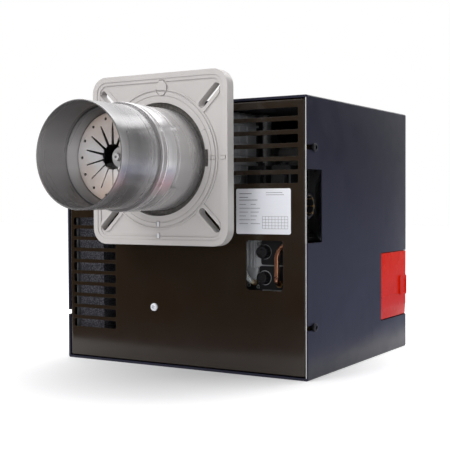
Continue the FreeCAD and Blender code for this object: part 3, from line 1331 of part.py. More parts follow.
def ignition_leads():
    """Two high-voltage leads from the transformer to the housing's floor."""
    y = TRANSFORMER_Y[0]
    z = TRAY_Z + TRAY_SHEET + LEAD_HEIGHT
    share, turn_y, turn_z = LEAD_TURN
    leads = []
    for x, end in zip(LEAD_POST_X, LEAD_END_X):
        points = steps_from((x, y, z), LEAD_FROM_POST)
        points.append((x + (end - x) * share, y + turn_y, z + turn_z))
        points += steps_from((end, y, z), LEAD_TO_HOUSING)
        points.append((end, points[-1][1], HOUSING_Z[0]))
        leads.append(route(points, LEAD_R))
    return group(leads)


def control_base():
    """Terminal base of the burner controller."""
    x = (CONTROL_X[0], CONTROL_X[0] + CONTROL_BASE)
    return rounded_block(x, CONTROL_Y, CONTROL_Z, CONTROL_BASE_CORNER_R, (1, 0, 0))


def burner_controller():
    """Plug-in controller on its terminal base, with a display and the reset button's well."""
    x = (CONTROL_X[0] + CONTROL_BASE, CONTROL_X[1])
    y = (CONTROL_Y[0] + CONTROL_CASE_INSET, CONTROL_Y[1] - CONTROL_CASE_INSET)
    z = (CONTROL_Z[0] + CONTROL_CASE_INSET, CONTROL_Z[1] - CONTROL_CASE_INSET)
    case = rounded_block(x, y, z, CONTROL_CASE_CORNER_R, (1, 0, 0))
    display_y = (BUTTON_Y + DISPLAY_FROM_BUTTON[0], CONTROL_Y[1] - DISPLAY_MARGIN[0])
    display_z = (BUTTON_Z + DISPLAY_FROM_BUTTON[1], CONTROL_Z[1] - DISPLAY_MARGIN[1])
    display = block((x[1] - DISPLAY_DEPTH, x[1] + 1), display_y, display_z)
    well = rod(BUTTON_R + MOVING_GAP, (x[1] - BUTTON_WELL, BUTTON_Y, BUTTON_Z), (1, 0, 0), BUTTON_WELL + 2)
    return group([case.cut([display, well]), control_base()])


def reset_button():
    """Reset button of the controller."""
    start = CONTROL_X[1] - BUTTON_SUNK
    cap = rod(BUTTON_R, (start, BUTTON_Y, BUTTON_Z), (1, 0, 0), BUTTON_LENGTH)
    rim = [e for e in cap.Edges if e.BoundBox.XLength < 1e-6 and e.BoundBox.XMin > start + 1]
    return cap.makeFillet(BUTTON_ROUND, rim)


def tray_brackets():
    """Sheet brackets that hold the controller and the valve block over the tray."""
    x = (CONTROL_X[0] - BRACKET_SHEET, CONTROL_X[0])
    y = (CONTROL_Y[0] + BRACKET_INSET, CONTROL_Y[1] - BRACKET_INSET)
    z = (TRAY_Z + TRAY_SHEET, CONTROL_Z[1])
    upright = block(x, y, z)
    foot = block((x[0] - BRACKET_FOOT, x[1]), y, (z[0], z[0] + BRACKET_SHEET))
    return group([joined([upright, foot]), valve_shelf()])


def plug_sockets():
    """Seven-pole and four-pole sockets behind the hood's rear window."""
    z = TRAY_Z + TRAY_SHEET
    wide, deep, tall = SOCKET_PIN
    pin_y = TRAY_BACK - SOCKET_MOUTH_DEPTH - SOCKET_PIN_SUNK
    pin_z = z + SOCKET_PIN_LOW
    solids = []
    for inset, poles in zip(SOCKET_X, SOCKET_POLES):
        x = REAR_WINDOW_X[0] + inset
        end = x + poles * SOCKET_PITCH + 2 * SOCKET_SIDE
        body = block((x, end), (TRAY_BACK - SOCKET_DEPTH, TRAY_BACK), (z, z + SOCKET_HEIGHT))
        mouth = block((x + SOCKET_RIM, end - SOCKET_RIM), (TRAY_BACK - SOCKET_MOUTH_DEPTH, TRAY_BACK + 1),
                      (z + SOCKET_MOUTH_Z[0], z + SOCKET_MOUTH_Z[1]))
        pins = []
        for k in range(poles):
            pin_x = x + SOCKET_SIDE + (k + 0.5) * SOCKET_PITCH - SOCKET_PIN_OFFSET
            pins.append(block((pin_x, pin_x + wide), (pin_y, pin_y + deep), (pin_z, pin_z + tall)))
        solids.append(body.cut(mouth).multiFuse(pins))
    return group(solids)


def air_pressure_switch():
    """Round air pressure switch on the housing's left wall."""
    x = HOUSING_X[0]
    can = rod(SWITCH_R, (x, SWITCH_Y, SWITCH_Z), (-1, 0, 0), SWITCH_CAN)
    cap = rod(SWITCH_R - SWITCH_CAP_STEP, (x, SWITCH_Y, SWITCH_Z), (-1, 0, 0), SWITCH_LENGTH)
    length = SWITCH_LENGTH + DIAL_HEIGHT - DIAL_SPINDLE_SHORT
    stem = rod(SPINDLE_R, (x, SWITCH_Y, SWITCH_Z), (-1, 0, 0), length)
    return joined([can, cap, stem])


def pressure_dial():
    """Setting dial of the air pressure switch."""
    x = HOUSING_X[0] - SWITCH_LENGTH - MOVING_GAP
    dial = rod(DIAL_R, (x, SWITCH_Y, SWITCH_Z), (-1, 0, 0), DIAL_HEIGHT)
    bore = rod(SPINDLE_R + RUNNING_GAP, (x + 1, SWITCH_Y, SWITCH_Z), (-1, 0, 0), DIAL_HEIGHT)
    face = x - DIAL_HEIGHT
    mark_y = (SWITCH_Y - DIAL_MARK / 2, SWITCH_Y + DIAL_MARK / 2)
    mark = block((face - 1, face + 1), mark_y, (SWITCH_Z + DIAL_MARK_START, SWITCH_Z + DIAL_R))
    return dial.cut([bore, mark])


def wiring_harness():
    """Cables from the controller to the motor, the transformer and the gas valves."""
    base = (CONTROL_X[0] - BRACKET_SHEET, CONTROL_Y[0], CONTROL_Z[0])
    motor = (motor_span()[1] - MOTOR_CABLE_INSET, FAN_Y + MOTOR_R + MOTOR_FIN_HEIGHT, FAN_Z)
    valve = (base[0], VALVE_Y[1], VALVE_Z[0])
    case = (TRANSFORMER_X[1], TRANSFORMER_Y[1], TRAY_Z + TRAY_SHEET + CABLE_LIFT)
    to_motor = steps_from(base, MOTOR_CABLE_FROM_BASE) + steps_from(motor, MOTOR_CABLE_TO_MOTOR)
    to_valves = steps_from(base, VALVE_CABLE_FROM_BASE) + steps_from(valve, VALVE_CABLE_TO_VALVE)
    to_case = steps_from(base, SPARK_CABLE_FROM_BASE) + steps_from(case, SPARK_CABLE_TO_CASE)
    return group([route(to_motor, CABLE_R), route(to_valves, VALVE_CABLE_R), route(to_case, CABLE_R)])


# Hood

def hood_form(inset):
    """Outer form of the hood, rounded along its rear edges, shrunk by an inset."""
    solid = block((LEFT + inset, RIGHT - inset), (FRONT, BACK - inset), (FLOOR + inset, TOP - inset))
    rear = [e for e in solid.Edges if e.BoundBox.YMin > BACK - inset - 1e-3]
    return solid.makeFillet(HOOD_CORNER_R - inset, rear)


def hood_slice(inset, y):
    """A slice of the hood's upright section, shrunk by an inset, between two depths."""
    return block((LEFT + inset, RIGHT - inset), y, (FLOOR + inset, TOP - inset))


def cover_cut(gap):
    """Region of the hood's corner that the control cover fills."""
    x = (COVER_REAR_X - gap, RIGHT + 9)
    y = (COVER_FRONT - gap, BACK + 9)
    return block(x, y, (COVER_Z[0] - gap, COVER_Z[1] + gap))


def hood_shell():
    """Folded hood, open at the front, with its notch, screw slots and corner opening."""
    mouth = hood_slice(HOOD_SHEET, (FRONT - 1, FRONT + 1))
    shell = hood_form(0).cut(hood_form(HOOD_SHEET).fuse(mouth))
    y = (FRONT, FRONT + HOOD_LIP_DEPTH)
    lip = hood_slice(HOOD_LIP_INSET, y).cut(hood_slice(HOOD_LIP, (y[0] - 1, y[1] + 1)))
    body = shell.fuse(lip)
    cuts = [block((RIGHT - HOOD_LIP - 1, RIGHT + 1), (FRONT - 1, FRONT + NOTCH_DEPTH), NOTCH_Z)]
    half = SIDE_SCREW_R + SLOT_CLEARANCE
    end = FRONT + SIDE_SCREW_SETBACK
    for z in SIDE_SCREW_Z:
        cuts.append(block((LEFT - 1, RIGHT + 1), (FRONT - 1, end), (z - half, z + half)))
        cuts.append(rod(half, (LEFT - 1, end, z), (1, 0, 0), HOOD_WIDTH + 2))
    cuts.append(cover_cut(COVER_GAP))
    cuts.append(block(REAR_WINDOW_X, (BACK - 5, BACK + 1), REAR_WINDOW_Z))
    return body.cut(cuts)


def hood_lining():
    """Foam pads glued inside the top, the left side and the back."""
    inset = HOOD_SHEET
    y = (LINING_START, BACK - HOOD_CORNER_R - LINING_END)
    high = TOP - LINING_TOP
    top = block((LEFT + LINING_SIDE, RIGHT - LINING_SIDE), y, (TOP - inset - LINING, TOP - inset))
    left = block((LEFT + inset, LEFT + inset + LINING), y, (FLOOR + LINING_SIDE, high))
    back = block((LEFT + LINING_CORNER, COVER_REAR_X - LINING_TO_COVER),
                 (BACK - inset - LINING, BACK - inset), (REAR_WINDOW_Z[1] + LINING_TO_WINDOW, high))
    return group([top, left, back])


def pin_place():
    """Centre of the control cover's hinge pin."""
    return (RIGHT - HOOD_SHEET - COVER_PIN_INSET, COVER_FRONT + COVER_PIN_SETBACK)


def cover_hinge():
    """Hinge pin held by two brackets inside the hood's right wall."""
    x, y = pin_place()
    low, high = COVER_Z[0] - COVER_BRACKET_LIFT, COVER_Z[1] + COVER_BRACKET_LIFT
    pin = rod(COVER_PIN_R, (x, y, low), (0, 0, 1), high - low)
    arm = COVER_BRACKET
    arms = []
    for z in (low, high - arm):
        arms.append(block((x - arm, RIGHT - HOOD_SHEET), (y - COVER_BRACKET_BACK, y + arm), (z, z + arm)))
    return joined([pin] + arms)


def control_cover():
    """Red corner cover over the controller, hinged at its front edge."""
    skin = hood_form(0).cut(hood_form(COVER_SHEET)).common(cover_cut(0))
    x, y = pin_place()
    lugs = []
    for z in (COVER_Z[0] + COVER_LUG_INSET, COVER_Z[1] - COVER_LUG_INSET - COVER_LUG):
        eye = rod(COVER_LUG_R, (x, y, z), (0, 0, 1), COVER_LUG)
        arm_y = (y - COVER_LUG_R + COVER_ARM_ROOT, y + COVER_LUG_R)
        arm = block((x, RIGHT - COVER_ARM_ROOT), arm_y, (z, z + COVER_LUG))
        lugs.append(eye.fuse(arm))
    tab_y = (BACK - HOOD_CORNER_R - COVER_TAB_WIDTH, BACK - HOOD_CORNER_R)
    tab = block((RIGHT - COVER_ARM_ROOT, RIGHT + COVER_TAB), tab_y, COVER_TAB_Z)
    bore = rod(COVER_PIN_R + RUNNING_GAP, (x, y, COVER_Z[0] - 1), (0, 0, 1), COVER_Z[1] - COVER_Z[0] + 2)
    return joined([skin, tab] + lugs).cut(bore)


NODES = [
    front_panel, rating_plate, front_screw, hood_screws, mouth_tube, rear_tube, tube_band, step_ring,
    diffuser_disc, gas_nozzle, gas_lance, head_spider, electrodes, setting_rod, mounting_flange,
    flange_clamp_bolt, tube_seal, plenum_housing, rear_plate, housing_bolts, fan_scroll, scroll_cover,
    fan_wheel, motor_shaft, motor_stator, motor_housing, motor_end_shields, motor_bearings,
    run_capacitor, intake_silencer, silencer_foam, damper_flap, damper_shaft, damper_servo, inlet_elbow,
    gas_valve_block, gas_inlet_socket, regulator_knob, start_gas_knob, valve_coils, gas_pipe, gas_elbow,
    copper_pipe, gas_pressure_switch, pressure_hose, equipment_tray, tray_brackets,
    ignition_transformer, ignition_leads, burner_controller, reset_button, plug_sockets,
    air_pressure_switch, pressure_dial, wiring_harness, hood_shell, hood_lining, cover_hinge,
    control_cover,
]


def main():
    os.makedirs(PARTS, exist_ok=True)
    for make in NODES:
        shape = make()
        name = make.__name__
        shape.exportStep(os.path.join(PARTS, name + ".step"))
        volume = shape.Volume / 1000
        print(f"{name:22s} solids {len(shape.Solids)} valid {shape.isValid()} volume {volume:.1f} cm3")


main()
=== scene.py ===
"""Looks of the gas burner: finishes, turned and pressed pieces, foam, hoses and the studio.

Metres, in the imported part's own frame. Lengths written in millimetres are multiplied by MM.
"""
import json
import math

import bmesh
import bpy
from mathutils import Matrix, Vector, noise

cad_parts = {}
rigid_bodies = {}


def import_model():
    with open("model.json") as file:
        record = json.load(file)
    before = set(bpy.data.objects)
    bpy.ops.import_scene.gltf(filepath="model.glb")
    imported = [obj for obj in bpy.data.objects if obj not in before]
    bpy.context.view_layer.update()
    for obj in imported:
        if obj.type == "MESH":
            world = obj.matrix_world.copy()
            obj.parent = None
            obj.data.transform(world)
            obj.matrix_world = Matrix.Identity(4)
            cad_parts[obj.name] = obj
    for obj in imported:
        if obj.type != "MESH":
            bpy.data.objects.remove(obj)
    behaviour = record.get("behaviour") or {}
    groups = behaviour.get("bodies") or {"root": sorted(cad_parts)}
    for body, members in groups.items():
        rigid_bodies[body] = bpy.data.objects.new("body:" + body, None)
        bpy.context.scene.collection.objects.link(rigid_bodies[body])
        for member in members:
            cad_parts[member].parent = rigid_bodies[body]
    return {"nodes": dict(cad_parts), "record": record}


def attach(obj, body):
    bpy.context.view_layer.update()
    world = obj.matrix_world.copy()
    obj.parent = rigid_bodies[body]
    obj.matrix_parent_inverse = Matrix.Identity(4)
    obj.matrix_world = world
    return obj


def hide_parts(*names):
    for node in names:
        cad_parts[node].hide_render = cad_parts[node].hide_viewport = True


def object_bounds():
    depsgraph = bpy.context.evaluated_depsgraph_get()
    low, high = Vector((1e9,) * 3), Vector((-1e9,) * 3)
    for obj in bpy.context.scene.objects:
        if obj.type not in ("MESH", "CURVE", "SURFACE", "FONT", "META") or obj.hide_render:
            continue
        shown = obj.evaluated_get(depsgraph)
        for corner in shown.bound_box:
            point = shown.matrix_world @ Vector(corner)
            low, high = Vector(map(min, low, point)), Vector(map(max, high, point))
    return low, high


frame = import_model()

CAD_LOW, CAD_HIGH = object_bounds()
NODES = frame["nodes"]
SLOT_OF = {row["node"]: row["material_slot"] for row in frame["record"]["subparts"]}
MM = 0.001

# The photograph's camera
CAMERA_PLACE = Vector((672.71, -953.88, -49.80)) * MM
CAMERA_RIGHT = Vector((0.85550318, 0.51778062, -0.00418738))
CAMERA_UP = Vector((-0.00979232, 0.02426376, 0.99965763))
CAMERA_LENS = 76.77


# Materials

# Radii in metres between which the colour inside the tube (soot, with painted shade and painted light) gives
# way to its outside colour
TUBE_SKIN = (0.0583, 0.0590)


class Finish:
    """A procedural material, with short calls for the nodes that build it up."""

    def __init__(self, name, color, rough, metal=0.0, **sockets):
        self.material = bpy.data.materials.new(name)
        self.material.use_nodes = True
        self.tree = self.material.node_tree
        self.shader = self.tree.nodes["Principled BSDF"]
        self.set("Base Color", (*color, 1.0))
        self.set("Roughness", rough)
        self.set("Metallic", metal)
        for socket, value in sockets.items():
            self.set(socket.replace("_", " "), value)
        self.place = self.tree.nodes.new("ShaderNodeTexCoord").outputs["Object"]

    def set(self, socket, value):
        self.feed(self.shader.inputs[socket], value)

    def feed(self, socket, value):
        """Links an output to a socket, or sets the socket's own value."""
        if isinstance(value, bpy.types.NodeSocket):
            self.tree.links.new(value, socket)
        elif value is not None:
            socket.default_value = value

    def stretched(self, x, y, z):
        """The object coordinates, scaled on each axis."""
        node = self.tree.nodes.new("ShaderNodeMapping")
        self.feed(node.inputs["Vector"], self.place)
        node.inputs["Scale"].default_value = (x, y, z)
        return node.outputs["Vector"]

    def noise(self, scale, detail=3.0, at=None, contrast=0.5):
        node = self.tree.nodes.new("ShaderNodeTexNoise")
        self.feed(node.inputs["Vector"], at or self.place)
        node.inputs["Scale"].default_value = scale
        node.inputs["Detail"].default_value = detail
        node.inputs["Roughness"].default_value = contrast
        return node.outputs["Fac"]

    def cells(self, scale):
        node = self.tree.nodes.new("ShaderNodeTexVoronoi")
        self.feed(node.inputs["Vector"], self.place)
        node.inputs["Scale"].default_value = scale
        return node.outputs["Distance"]

    def math(self, kind, a, b=None):
        node = self.tree.nodes.new("ShaderNodeMath")
        node.operation = kind
        for socket, value in zip(node.inputs, (a, b)):
            self.feed(socket, value)
        return node.outputs[0]

    def span(self, value, low, high, out_low=0.0, out_high=1.0):
        """A value stretched from one range to another, and held inside it."""
        node = self.tree.nodes.new("ShaderNodeMapRange")
        for socket, number in zip(node.inputs, (value, low, high, out_low, out_high)):
            self.feed(socket, number)
        return node.outputs[0]

    def mix(self, share, a, b):
        """Colour a, going over to colour b."""
        node = self.tree.nodes.new("ShaderNodeMix")
        node.data_type = "RGBA"
        self.feed(node.inputs[0], share)
        for socket, value in ((node.inputs[6], a), (node.inputs[7], b)):
            self.feed(socket, (*value, 1.0) if isinstance(value, tuple) else value)
        return node.outputs[2]

    def axes(self):
        node = self.tree.nodes.new("ShaderNodeSeparateXYZ")
        self.feed(node.inputs[0], self.place)
        return node.outputs

    def vector(self, x, y, z):
        node = self.tree.nodes.new("ShaderNodeCombineXYZ")
        for socket, value in zip(node.inputs, (x, y, z)):
            self.feed(socket, value)
        return node.outputs[0]

    def bump(self, height, strength, depth):
        """Surface relief whose full depth is given in millimetres."""
        node = self.tree.nodes.new("ShaderNodeBump")
        node.inputs["Strength"].default_value = strength
        node.inputs["Distance"].default_value = depth * MM
        self.feed(node.inputs["Height"], height)
        if self.shader.inputs["Normal"].links:
            self.feed(node.inputs["Normal"], self.shader.inputs["Normal"].links[0].from_socket)
        self.set("Normal", node.outputs["Normal"])
        return self

    def tint(self, share, a, b):
        """Base colour that varies between two colours."""
        self.set("Base Color", self.mix(share, a, b))
        return self

    def polish(self, share, low, high):
        """Roughness that varies between two values."""
        self.set("Roughness", self.span(share, 0.3, 0.7, low, high))
        return self


def panel_enamel():
    """Glossy brown-black enamel with a trace of orange peel."""
    f = Finish("panel_enamel", (0.019, 0.011, 0.005), 0.2, Specular_IOR_Level=0.5)
    f.tint(f.noise(9, 4), (0.020, 0.0115, 0.005), (0.016, 0.010, 0.006))
    f.polish(f.noise(30, 5), 0.16, 0.24)
    return f.bump(f.noise(700, 2), 0.12, 0.03)


def hood_enamel():
    """Satin slate-grey powder coat."""
    f = Finish("hood_enamel", (0.022, 0.023, 0.036), 0.32, Specular_IOR_Level=0.2)
    f.tint(f.noise(5, 4), (0.014, 0.015, 0.029), (0.018, 0.019, 0.036))
    f.polish(f.noise(40, 5), 0.28, 0.37)
    return f.bump(f.noise(1500, 2), 0.25, 0.03)


def shaded(color, share):
    """A colour made darker or lighter by a share."""
    return tuple(c * share for c in color)


def stainless():
    """Steel brushed round the tube's axis, darker towards the mouth by painted shade and with a painted pink
    reflection low down; inside the mouth soot, painted shade towards top and bottom and a painted lighter
    cone.
    """
    color, rough, metal = (0.68, 0.67, 0.68), 0.27, 0.82
    f = Finish("stainless", color, rough, metal)
    x, along, z = f.axes()
    radius = f.math("SQRT", f.math("ADD", f.math("MULTIPLY", x, x), f.math("MULTIPLY", z, z)))
    x_share = f.math("MULTIPLY", f.math("DIVIDE", x, radius), 0.4)
    z_share = f.math("MULTIPLY", f.math("DIVIDE", z, radius), 0.4)
    scratches = f.noise(1.0, 1, f.vector(x_share, z_share, f.math("MULTIPLY", along, 1500.0)), 0.4)
    bands = f.noise(1.0, 2, f.vector(x_share, z_share, f.math("MULTIPLY", along, 90.0)), 0.4)
    shade = f.math("ADD", f.math("MULTIPLY", scratches, 0.5), f.math("MULTIPLY", bands, 0.5))
    # The brushed tone from scratches and bands, and a darker copy of it towards the mouth that is painted
    # shade.
    brushed_tone = f.mix(f.span(shade, 0.3, 0.7), shaded(color, 0.84), color)
    painted_dark_mouth = f.mix(f.span(shade, 0.3, 0.7), shaded(color, 0.52), shaded(color, 0.64))
    outer = f.mix(f.span(along, -0.115, -0.078), painted_dark_mouth, brushed_tone)
    # Painted pink reflection, low on the tube over the band and just behind the rim.
    painted_red_reflection = f.math("MULTIPLY", f.span(z, -0.046, -0.032, 0.0, 0.5), f.span(z, -0.032, -0.016, 1.0, 0.0))
    band = f.math("MULTIPLY", f.span(along, -0.0790, -0.0780), f.span(along, -0.0500, -0.0490, 1.0, 0.0))
    band = f.math("ADD", band, f.span(along, -0.146, -0.126, 0.8, 0.0))
    outer = f.mix(f.math("MULTIPLY", painted_red_reflection, band), outer, (0.95, 0.55, 0.62))
    # Inside the mouth: a soot-dark wall, a lighter cone that is painted light, and painted shade towards the
    # top and bottom.
    height = f.span(f.math("ABSOLUTE", z), 0.012, 0.052)
    bright = f.mix(f.span(radius, 0.0568, 0.0576), shaded(color, 1.10), shaded(color, 0.55))
    soot_and_painted_shade = f.mix(height, bright, shaded(color, 0.16))
    f.set("Base Color", f.mix(f.span(radius, *TUBE_SKIN), soot_and_painted_shade, outer))
    f.set("Metallic", f.span(radius, *TUBE_SKIN, 0.4, metal))
    f.set("Roughness", f.span(bands, 0.3, 0.7, rough - 0.03, rough + 0.04))
    tangent = f.tree.nodes.new("ShaderNodeTangent")
    tangent.direction_type = "RADIAL"
    tangent.axis = "Y"
    f.set("Tangent", tangent.outputs[0])
    f.set("Anisotropic", 0.65)
    f.set("Anisotropic Rotation", 0.25)
    return f.bump(scratches, 0.3, 0.03)


def disc_steel():
    """Pressed heat-resistant sheet, matt and faintly tinted by heat."""
    f = Finish("disc_steel", (0.7, 0.69, 0.685), 0.4, 0.2)
    height = f.axes()[2]
    edge = f.span(f.math("ABSOLUTE", height), 0.006, 0.046, 0.0, 0.75)
    warm = f.math("ADD", edge, f.span(f.noise(30, 4), 0.3, 0.75, -0.2, 0.45))
    f.tint(f.span(warm, 0.0, 1.0), (0.92, 0.91, 0.92), (0.80, 0.62, 0.52))
    f.polish(f.noise(60, 4), 0.38, 0.52)
    return f.bump(f.noise(500, 3), 0.3, 0.05)


def cast_aluminium():
    """Die-cast aluminium with a fine blasted grain."""
    f = Finish("cast_aluminium", (0.60, 0.575, 0.555), 0.42, 0.15)
    depth = f.axes()[1]
    machined = f.mix(f.noise(14, 5), (0.60, 0.575, 0.565), (0.52, 0.50, 0.49))
    rough_cast = f.mix(f.noise(20, 5), (0.38, 0.39, 0.41), (0.30, 0.31, 0.325))
    f.tint(f.span(depth, 0.036, 0.044), machined, rough_cast)
    f.polish(f.noise(45, 5), 0.36, 0.5)
    f.bump(f.noise(260, 4), 0.3, 0.12)
    return f.bump(f.noise(1400, 2), 0.3, 0.05)


def zinc_steel():
    """Zinc-plated sheet with a faint spangle."""
    f = Finish("zinc_steel", (0.52, 0.53, 0.55), 0.36, 0.95)
    f.tint(f.cells(130), (0.58, 0.585, 0.6), (0.43, 0.44, 0.46))
    f.polish(f.noise(70, 4), 0.3, 0.46)
    return f.bump(f.noise(350, 3), 0.15, 0.04)


def bearing_steel():
    """Ground steel of wires and electrodes."""
    f = Finish("bearing_steel", (0.6, 0.6, 0.62), 0.18, 1.0)
    return f.polish(f.noise(150, 3), 0.14, 0.26)


def moulded(name, color, rough, grain=900, **sockets):
    """Moulded plastic with a fine eroded grain and slight shade changes."""
    f = Finish(name, color, rough, 0.0, **sockets)
    f.tint(f.noise(25, 3), shaded(color, 1.08), shaded(color, 0.9))
    f.polish(f.noise(90, 4), rough - 0.05, rough + 0.07)
    return f.bump(f.noise(grain, 2), 0.2, 0.03)


def ceramic():
    """Glazed cream ceramic."""
    f = Finish("ceramic", (0.78, 0.75, 0.68), 0.15, 0.0, Coat_Weight=0.6)
    return f.tint(f.noise(80, 4), (0.80, 0.77, 0.70), (0.70, 0.66, 0.58))


def winding_core():
    """Stacked iron sheets, seen as fine lines across the shaft, under brown varnish."""
    f = Finish("winding_core", (0.16, 0.10, 0.06), 0.4, 0.5)
    across = f.axes()[0]
    sheets = f.math("SINE", f.math("MULTIPLY", across, 9000.0))
    f.tint(f.span(sheets, -1.0, 1.0), (0.10, 0.07, 0.05), (0.22, 0.13, 0.07))
    return f.bump(sheets, 0.4, 0.1)


def fibre_seal():
    """Woven mineral fibre rope."""
    f = Finish("fibre_seal", (0.09, 0.085, 0.08), 0.95)
    f.tint(f.cells(420), (0.05, 0.048, 0.045), (0.16, 0.15, 0.14))
    return f.bump(f.cells(420), 0.8, 0.4)


def foam():
    """Open-cell acoustic foam, charcoal with paler cell edges."""
    f = Finish("foam", (0.10, 0.10, 0.11), 0.95)
    pores = f.cells(520)
    f.tint(f.span(pores, 0.15, 0.62), (0.12, 0.12, 0.14), (0.022, 0.022, 0.03))
    f.bump(pores, 1.0, 0.7)
    return f.bump(f.noise(160, 4), 0.6, 0.8)


def brass():
    """Turned brass with slight tarnish."""
    f = Finish("brass", (0.66, 0.44, 0.18), 0.28, 1.0)
    f.tint(f.noise(70, 4), (0.70, 0.48, 0.20), (0.52, 0.33, 0.13))
    return f.polish(f.noise(120, 4), 0.2, 0.38)


def copper():
    """Drawn copper, darker in patches."""
    f = Finish("copper", (0.72, 0.33, 0.19), 0.3, 1.0)
    f.tint(f.noise(60, 5), (0.78, 0.38, 0.23), (0.50, 0.22, 0.13))
    return f.polish(f.noise(90, 4), 0.22, 0.42)


def silicone():
    """Clear hose with a milky wall."""
    f = Finish("silicone", (0.86, 0.9, 0.9), 0.18, 0.0, Transmission_Weight=0.75, IOR=1.41)
    return f.polish(f.noise(100, 3), 0.12, 0.3)


def red_plastic():
    """Glossy orange-red moulding whose shade varies slightly at random."""
    f = Finish("red_plastic", (0.76, 0.022, 0.005), 0.26, 0.0, Specular_IOR_Level=0.06)
    f.tint(f.noise(26, 3), (0.82, 0.022, 0.003), (0.74, 0.017, 0.003))
    f.polish(f.noise(60, 4), 0.2, 0.32)
    return f.bump(f.noise(420, 2), 0.12, 0.04)


def plate_metal():
    """Satin anodised aluminium, brushed along its length."""
    f = Finish("plate", (0.80, 0.81, 0.86), 0.42, 0.2)
    scratches = f.noise(1.0, 4, f.stretched(60, 60, 2600))
    f.tint(scratches, (0.82, 0.835, 0.89), (0.76, 0.775, 0.83))
    return f.bump(scratches, 0.1, 0.02)


FINISHES = {
    "panel_enamel": panel_enamel(),
    "hood_enamel": hood_enamel(),
    "plate": plate_metal(),
    "zinc_steel": zinc_steel(),
    "stainless": stainless(),
    "disc_steel": disc_steel(),
    "ceramic": ceramic(),
    "cast_aluminium": cast_aluminium(),
    "fibre_seal": fibre_seal(),
    "winding_core": winding_core(),
    "bearing_steel": bearing_steel(),
    "pale_plastic": moulded("pale_plastic", (0.62, 0.62, 0.61), 0.45),
    "grey_plastic": moulded("grey_plastic", (0.10, 0.105, 0.115), 0.5),
    "black_plastic": moulded("black_plastic", (0.007, 0.007, 0.009), 0.4, Specular_IOR_Level=0.35),
    "button_plastic": moulded("button_plastic", (0.6, 0.03, 0.015), 0.22, Coat_Weight=0.5),
    "red_plastic": red_plastic(),
    "foam": foam(),
    "brass": brass(),
    "copper": copper(),
    "silicone": silicone(),
    "cable": moulded("cable", (0.012, 0.012, 0.013), 0.55, 1500),
}


def soften_edges(finish, radius):
    """Rounds hard edges in the shading, under the surface relief."""
    node = finish.tree.nodes.new("ShaderNodeBevel")
    node.samples = 4
    node.inputs["Radius"].default_value = radius * MM
    target = finish.shader.inputs["Normal"]
    while target.links and target.links[0].from_node.type == "BUMP":
        target = target.links[0].from_node.inputs["Normal"]
    finish.tree.links.new(node.outputs["Normal"], target)


for finish in FINISHES.values():
    soften_edges(finish, 0.5)


def finish_of(slot):
    """The material made for a slot."""
    return FINISHES[slot].material


def dress_nodes():
    """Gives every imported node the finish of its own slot."""
    for name, node in NODES.items():
        node.data.materials.clear()
        node.data.materials.append(finish_of(SLOT_OF[name]))


# The part's own dimensions, in millimetres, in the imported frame
LEFT, RIGHT, FLOOR, TOP, FRONT, BACK = -180.0, 180.0, -261.0, 72.0, 45.0, 372.0
SHEET = 1.5
MOUTH_FRONT, MOUTH_R, MOUTH_WALL = -149.0, 60.0, 2.0
SPIGOT_R, SPIGOT_BACK = 59.0, -29.0
BAND_FRONT, BAND_BACK, BAND_R = -78.5, -49.0, 63.0
REAR_TUBE_BORE, REAR_TUBE_R, REAR_TUBE_BACK = 59.1, 61.8, 58.0
DISC_R, DISC_FRONT, DISC_SHEET, DISC_HOLE_R = 51.0, -88.0, 1.5, 14.6
DISC_SLOTS, DISC_SLOT_WIDTH, DISC_SLOT_END_R = 14, 2.6, 39.0
DISC_DOT_R, DISC_STRUT_R, VANE_LIFT = 44.5, 46.7, 0.8
SPIDER_Y, STEP_FRONT, NOZZLE_FRONT = -62.0, -100.4, -82.5
VALVE_X, VALVE_Y, VALVE_Z = (84.0, 146.0), (64.0, 118.0), (-160.0, -38.0)
KNOB_X, KNOB_Y, KNOB_BORE_R, MAIN_KNOB_Z, START_KNOB_Z = 114.5, (51.2, 61.2), 3.05, -112.4, -143.7
GAS_INLET, GAS_OUTLET, SOCKET_X = (66.0, -57.0), (94.0, -140.0), (150.0, 172.0)
HOUSING_RIGHT, FAN_AXIS, SCROLL_START_R, SCROLL_END_R = 70.0, (240.0, -55.0), 70.0, 112.0
CAPACITOR_AXIS = (240.0, 11.4)
FLANGE_WIDTH, FLANGE_HEIGHT, FLANGE_THICK, FLANGE_CORNER_R = 198.0, 208.0, 14.0, 20.0
FLANGE_BORE_R, FLANGE_RING_R, HUB_BORE_R, HUB_R, HUB_BACK = 68.7, 85.0, 62.1, 78.0, 34.0
FLANGE_SLOT_ANGLES, TICK_RADII, PAD_BACK = (45, 135, 225, 315), (78.5, 92.5), 3.5
CLAMP_GAP, CLAMP_LUG, CLAMP_DROP = 4.0, 13.0, 17.0
PANEL_HALF, PANEL_LOW, PANEL_HIGH, PANEL_REAR = 176.0, -257.0, 68.0, 72.5
PANEL_HOLE_R = 72.0
LEFT_LOUVRE_X, RIGHT_LOUVRE_X, LOUVRE_HEIGHT = (-170.0, -99.5), (78.0, 167.5), 10.3
WINDOW_X, WINDOW_Z = (97.3, 147.5), (-157.5, -98.0)
PLATE_X, PLATE_Z = (84.2, 158.2), (-90.4, -36.2)
SCREW_X, SCREW_Z, SIDE_SCREW_Z = -37.8, -185.8, (11.4, -199.6)
NOTCH_DEPTH, NOTCH_Z = 38.3, (-100.4, -14.0)
REAR_WINDOW_X, REAR_WINDOW_Z = (-72.0, 40.0), (-250.0, -212.0)
COVER_X, COVER_FRONT, COVER_Z, COVER_TAB_Z = 118.0, 269.5, (-213.6, -123.2), (-184.9, -157.7)
COVER_CORNER, COVER_BAND_TOP, COVER_RIB_Z = 12.0, -199.4, (-184.1, -182.2)
SILENCER_X, SILENCER_Z, FOAM_INNER, LINING_Y = (-169.0, -83.0), (-250.0, -22.0), -126.0, 77.0


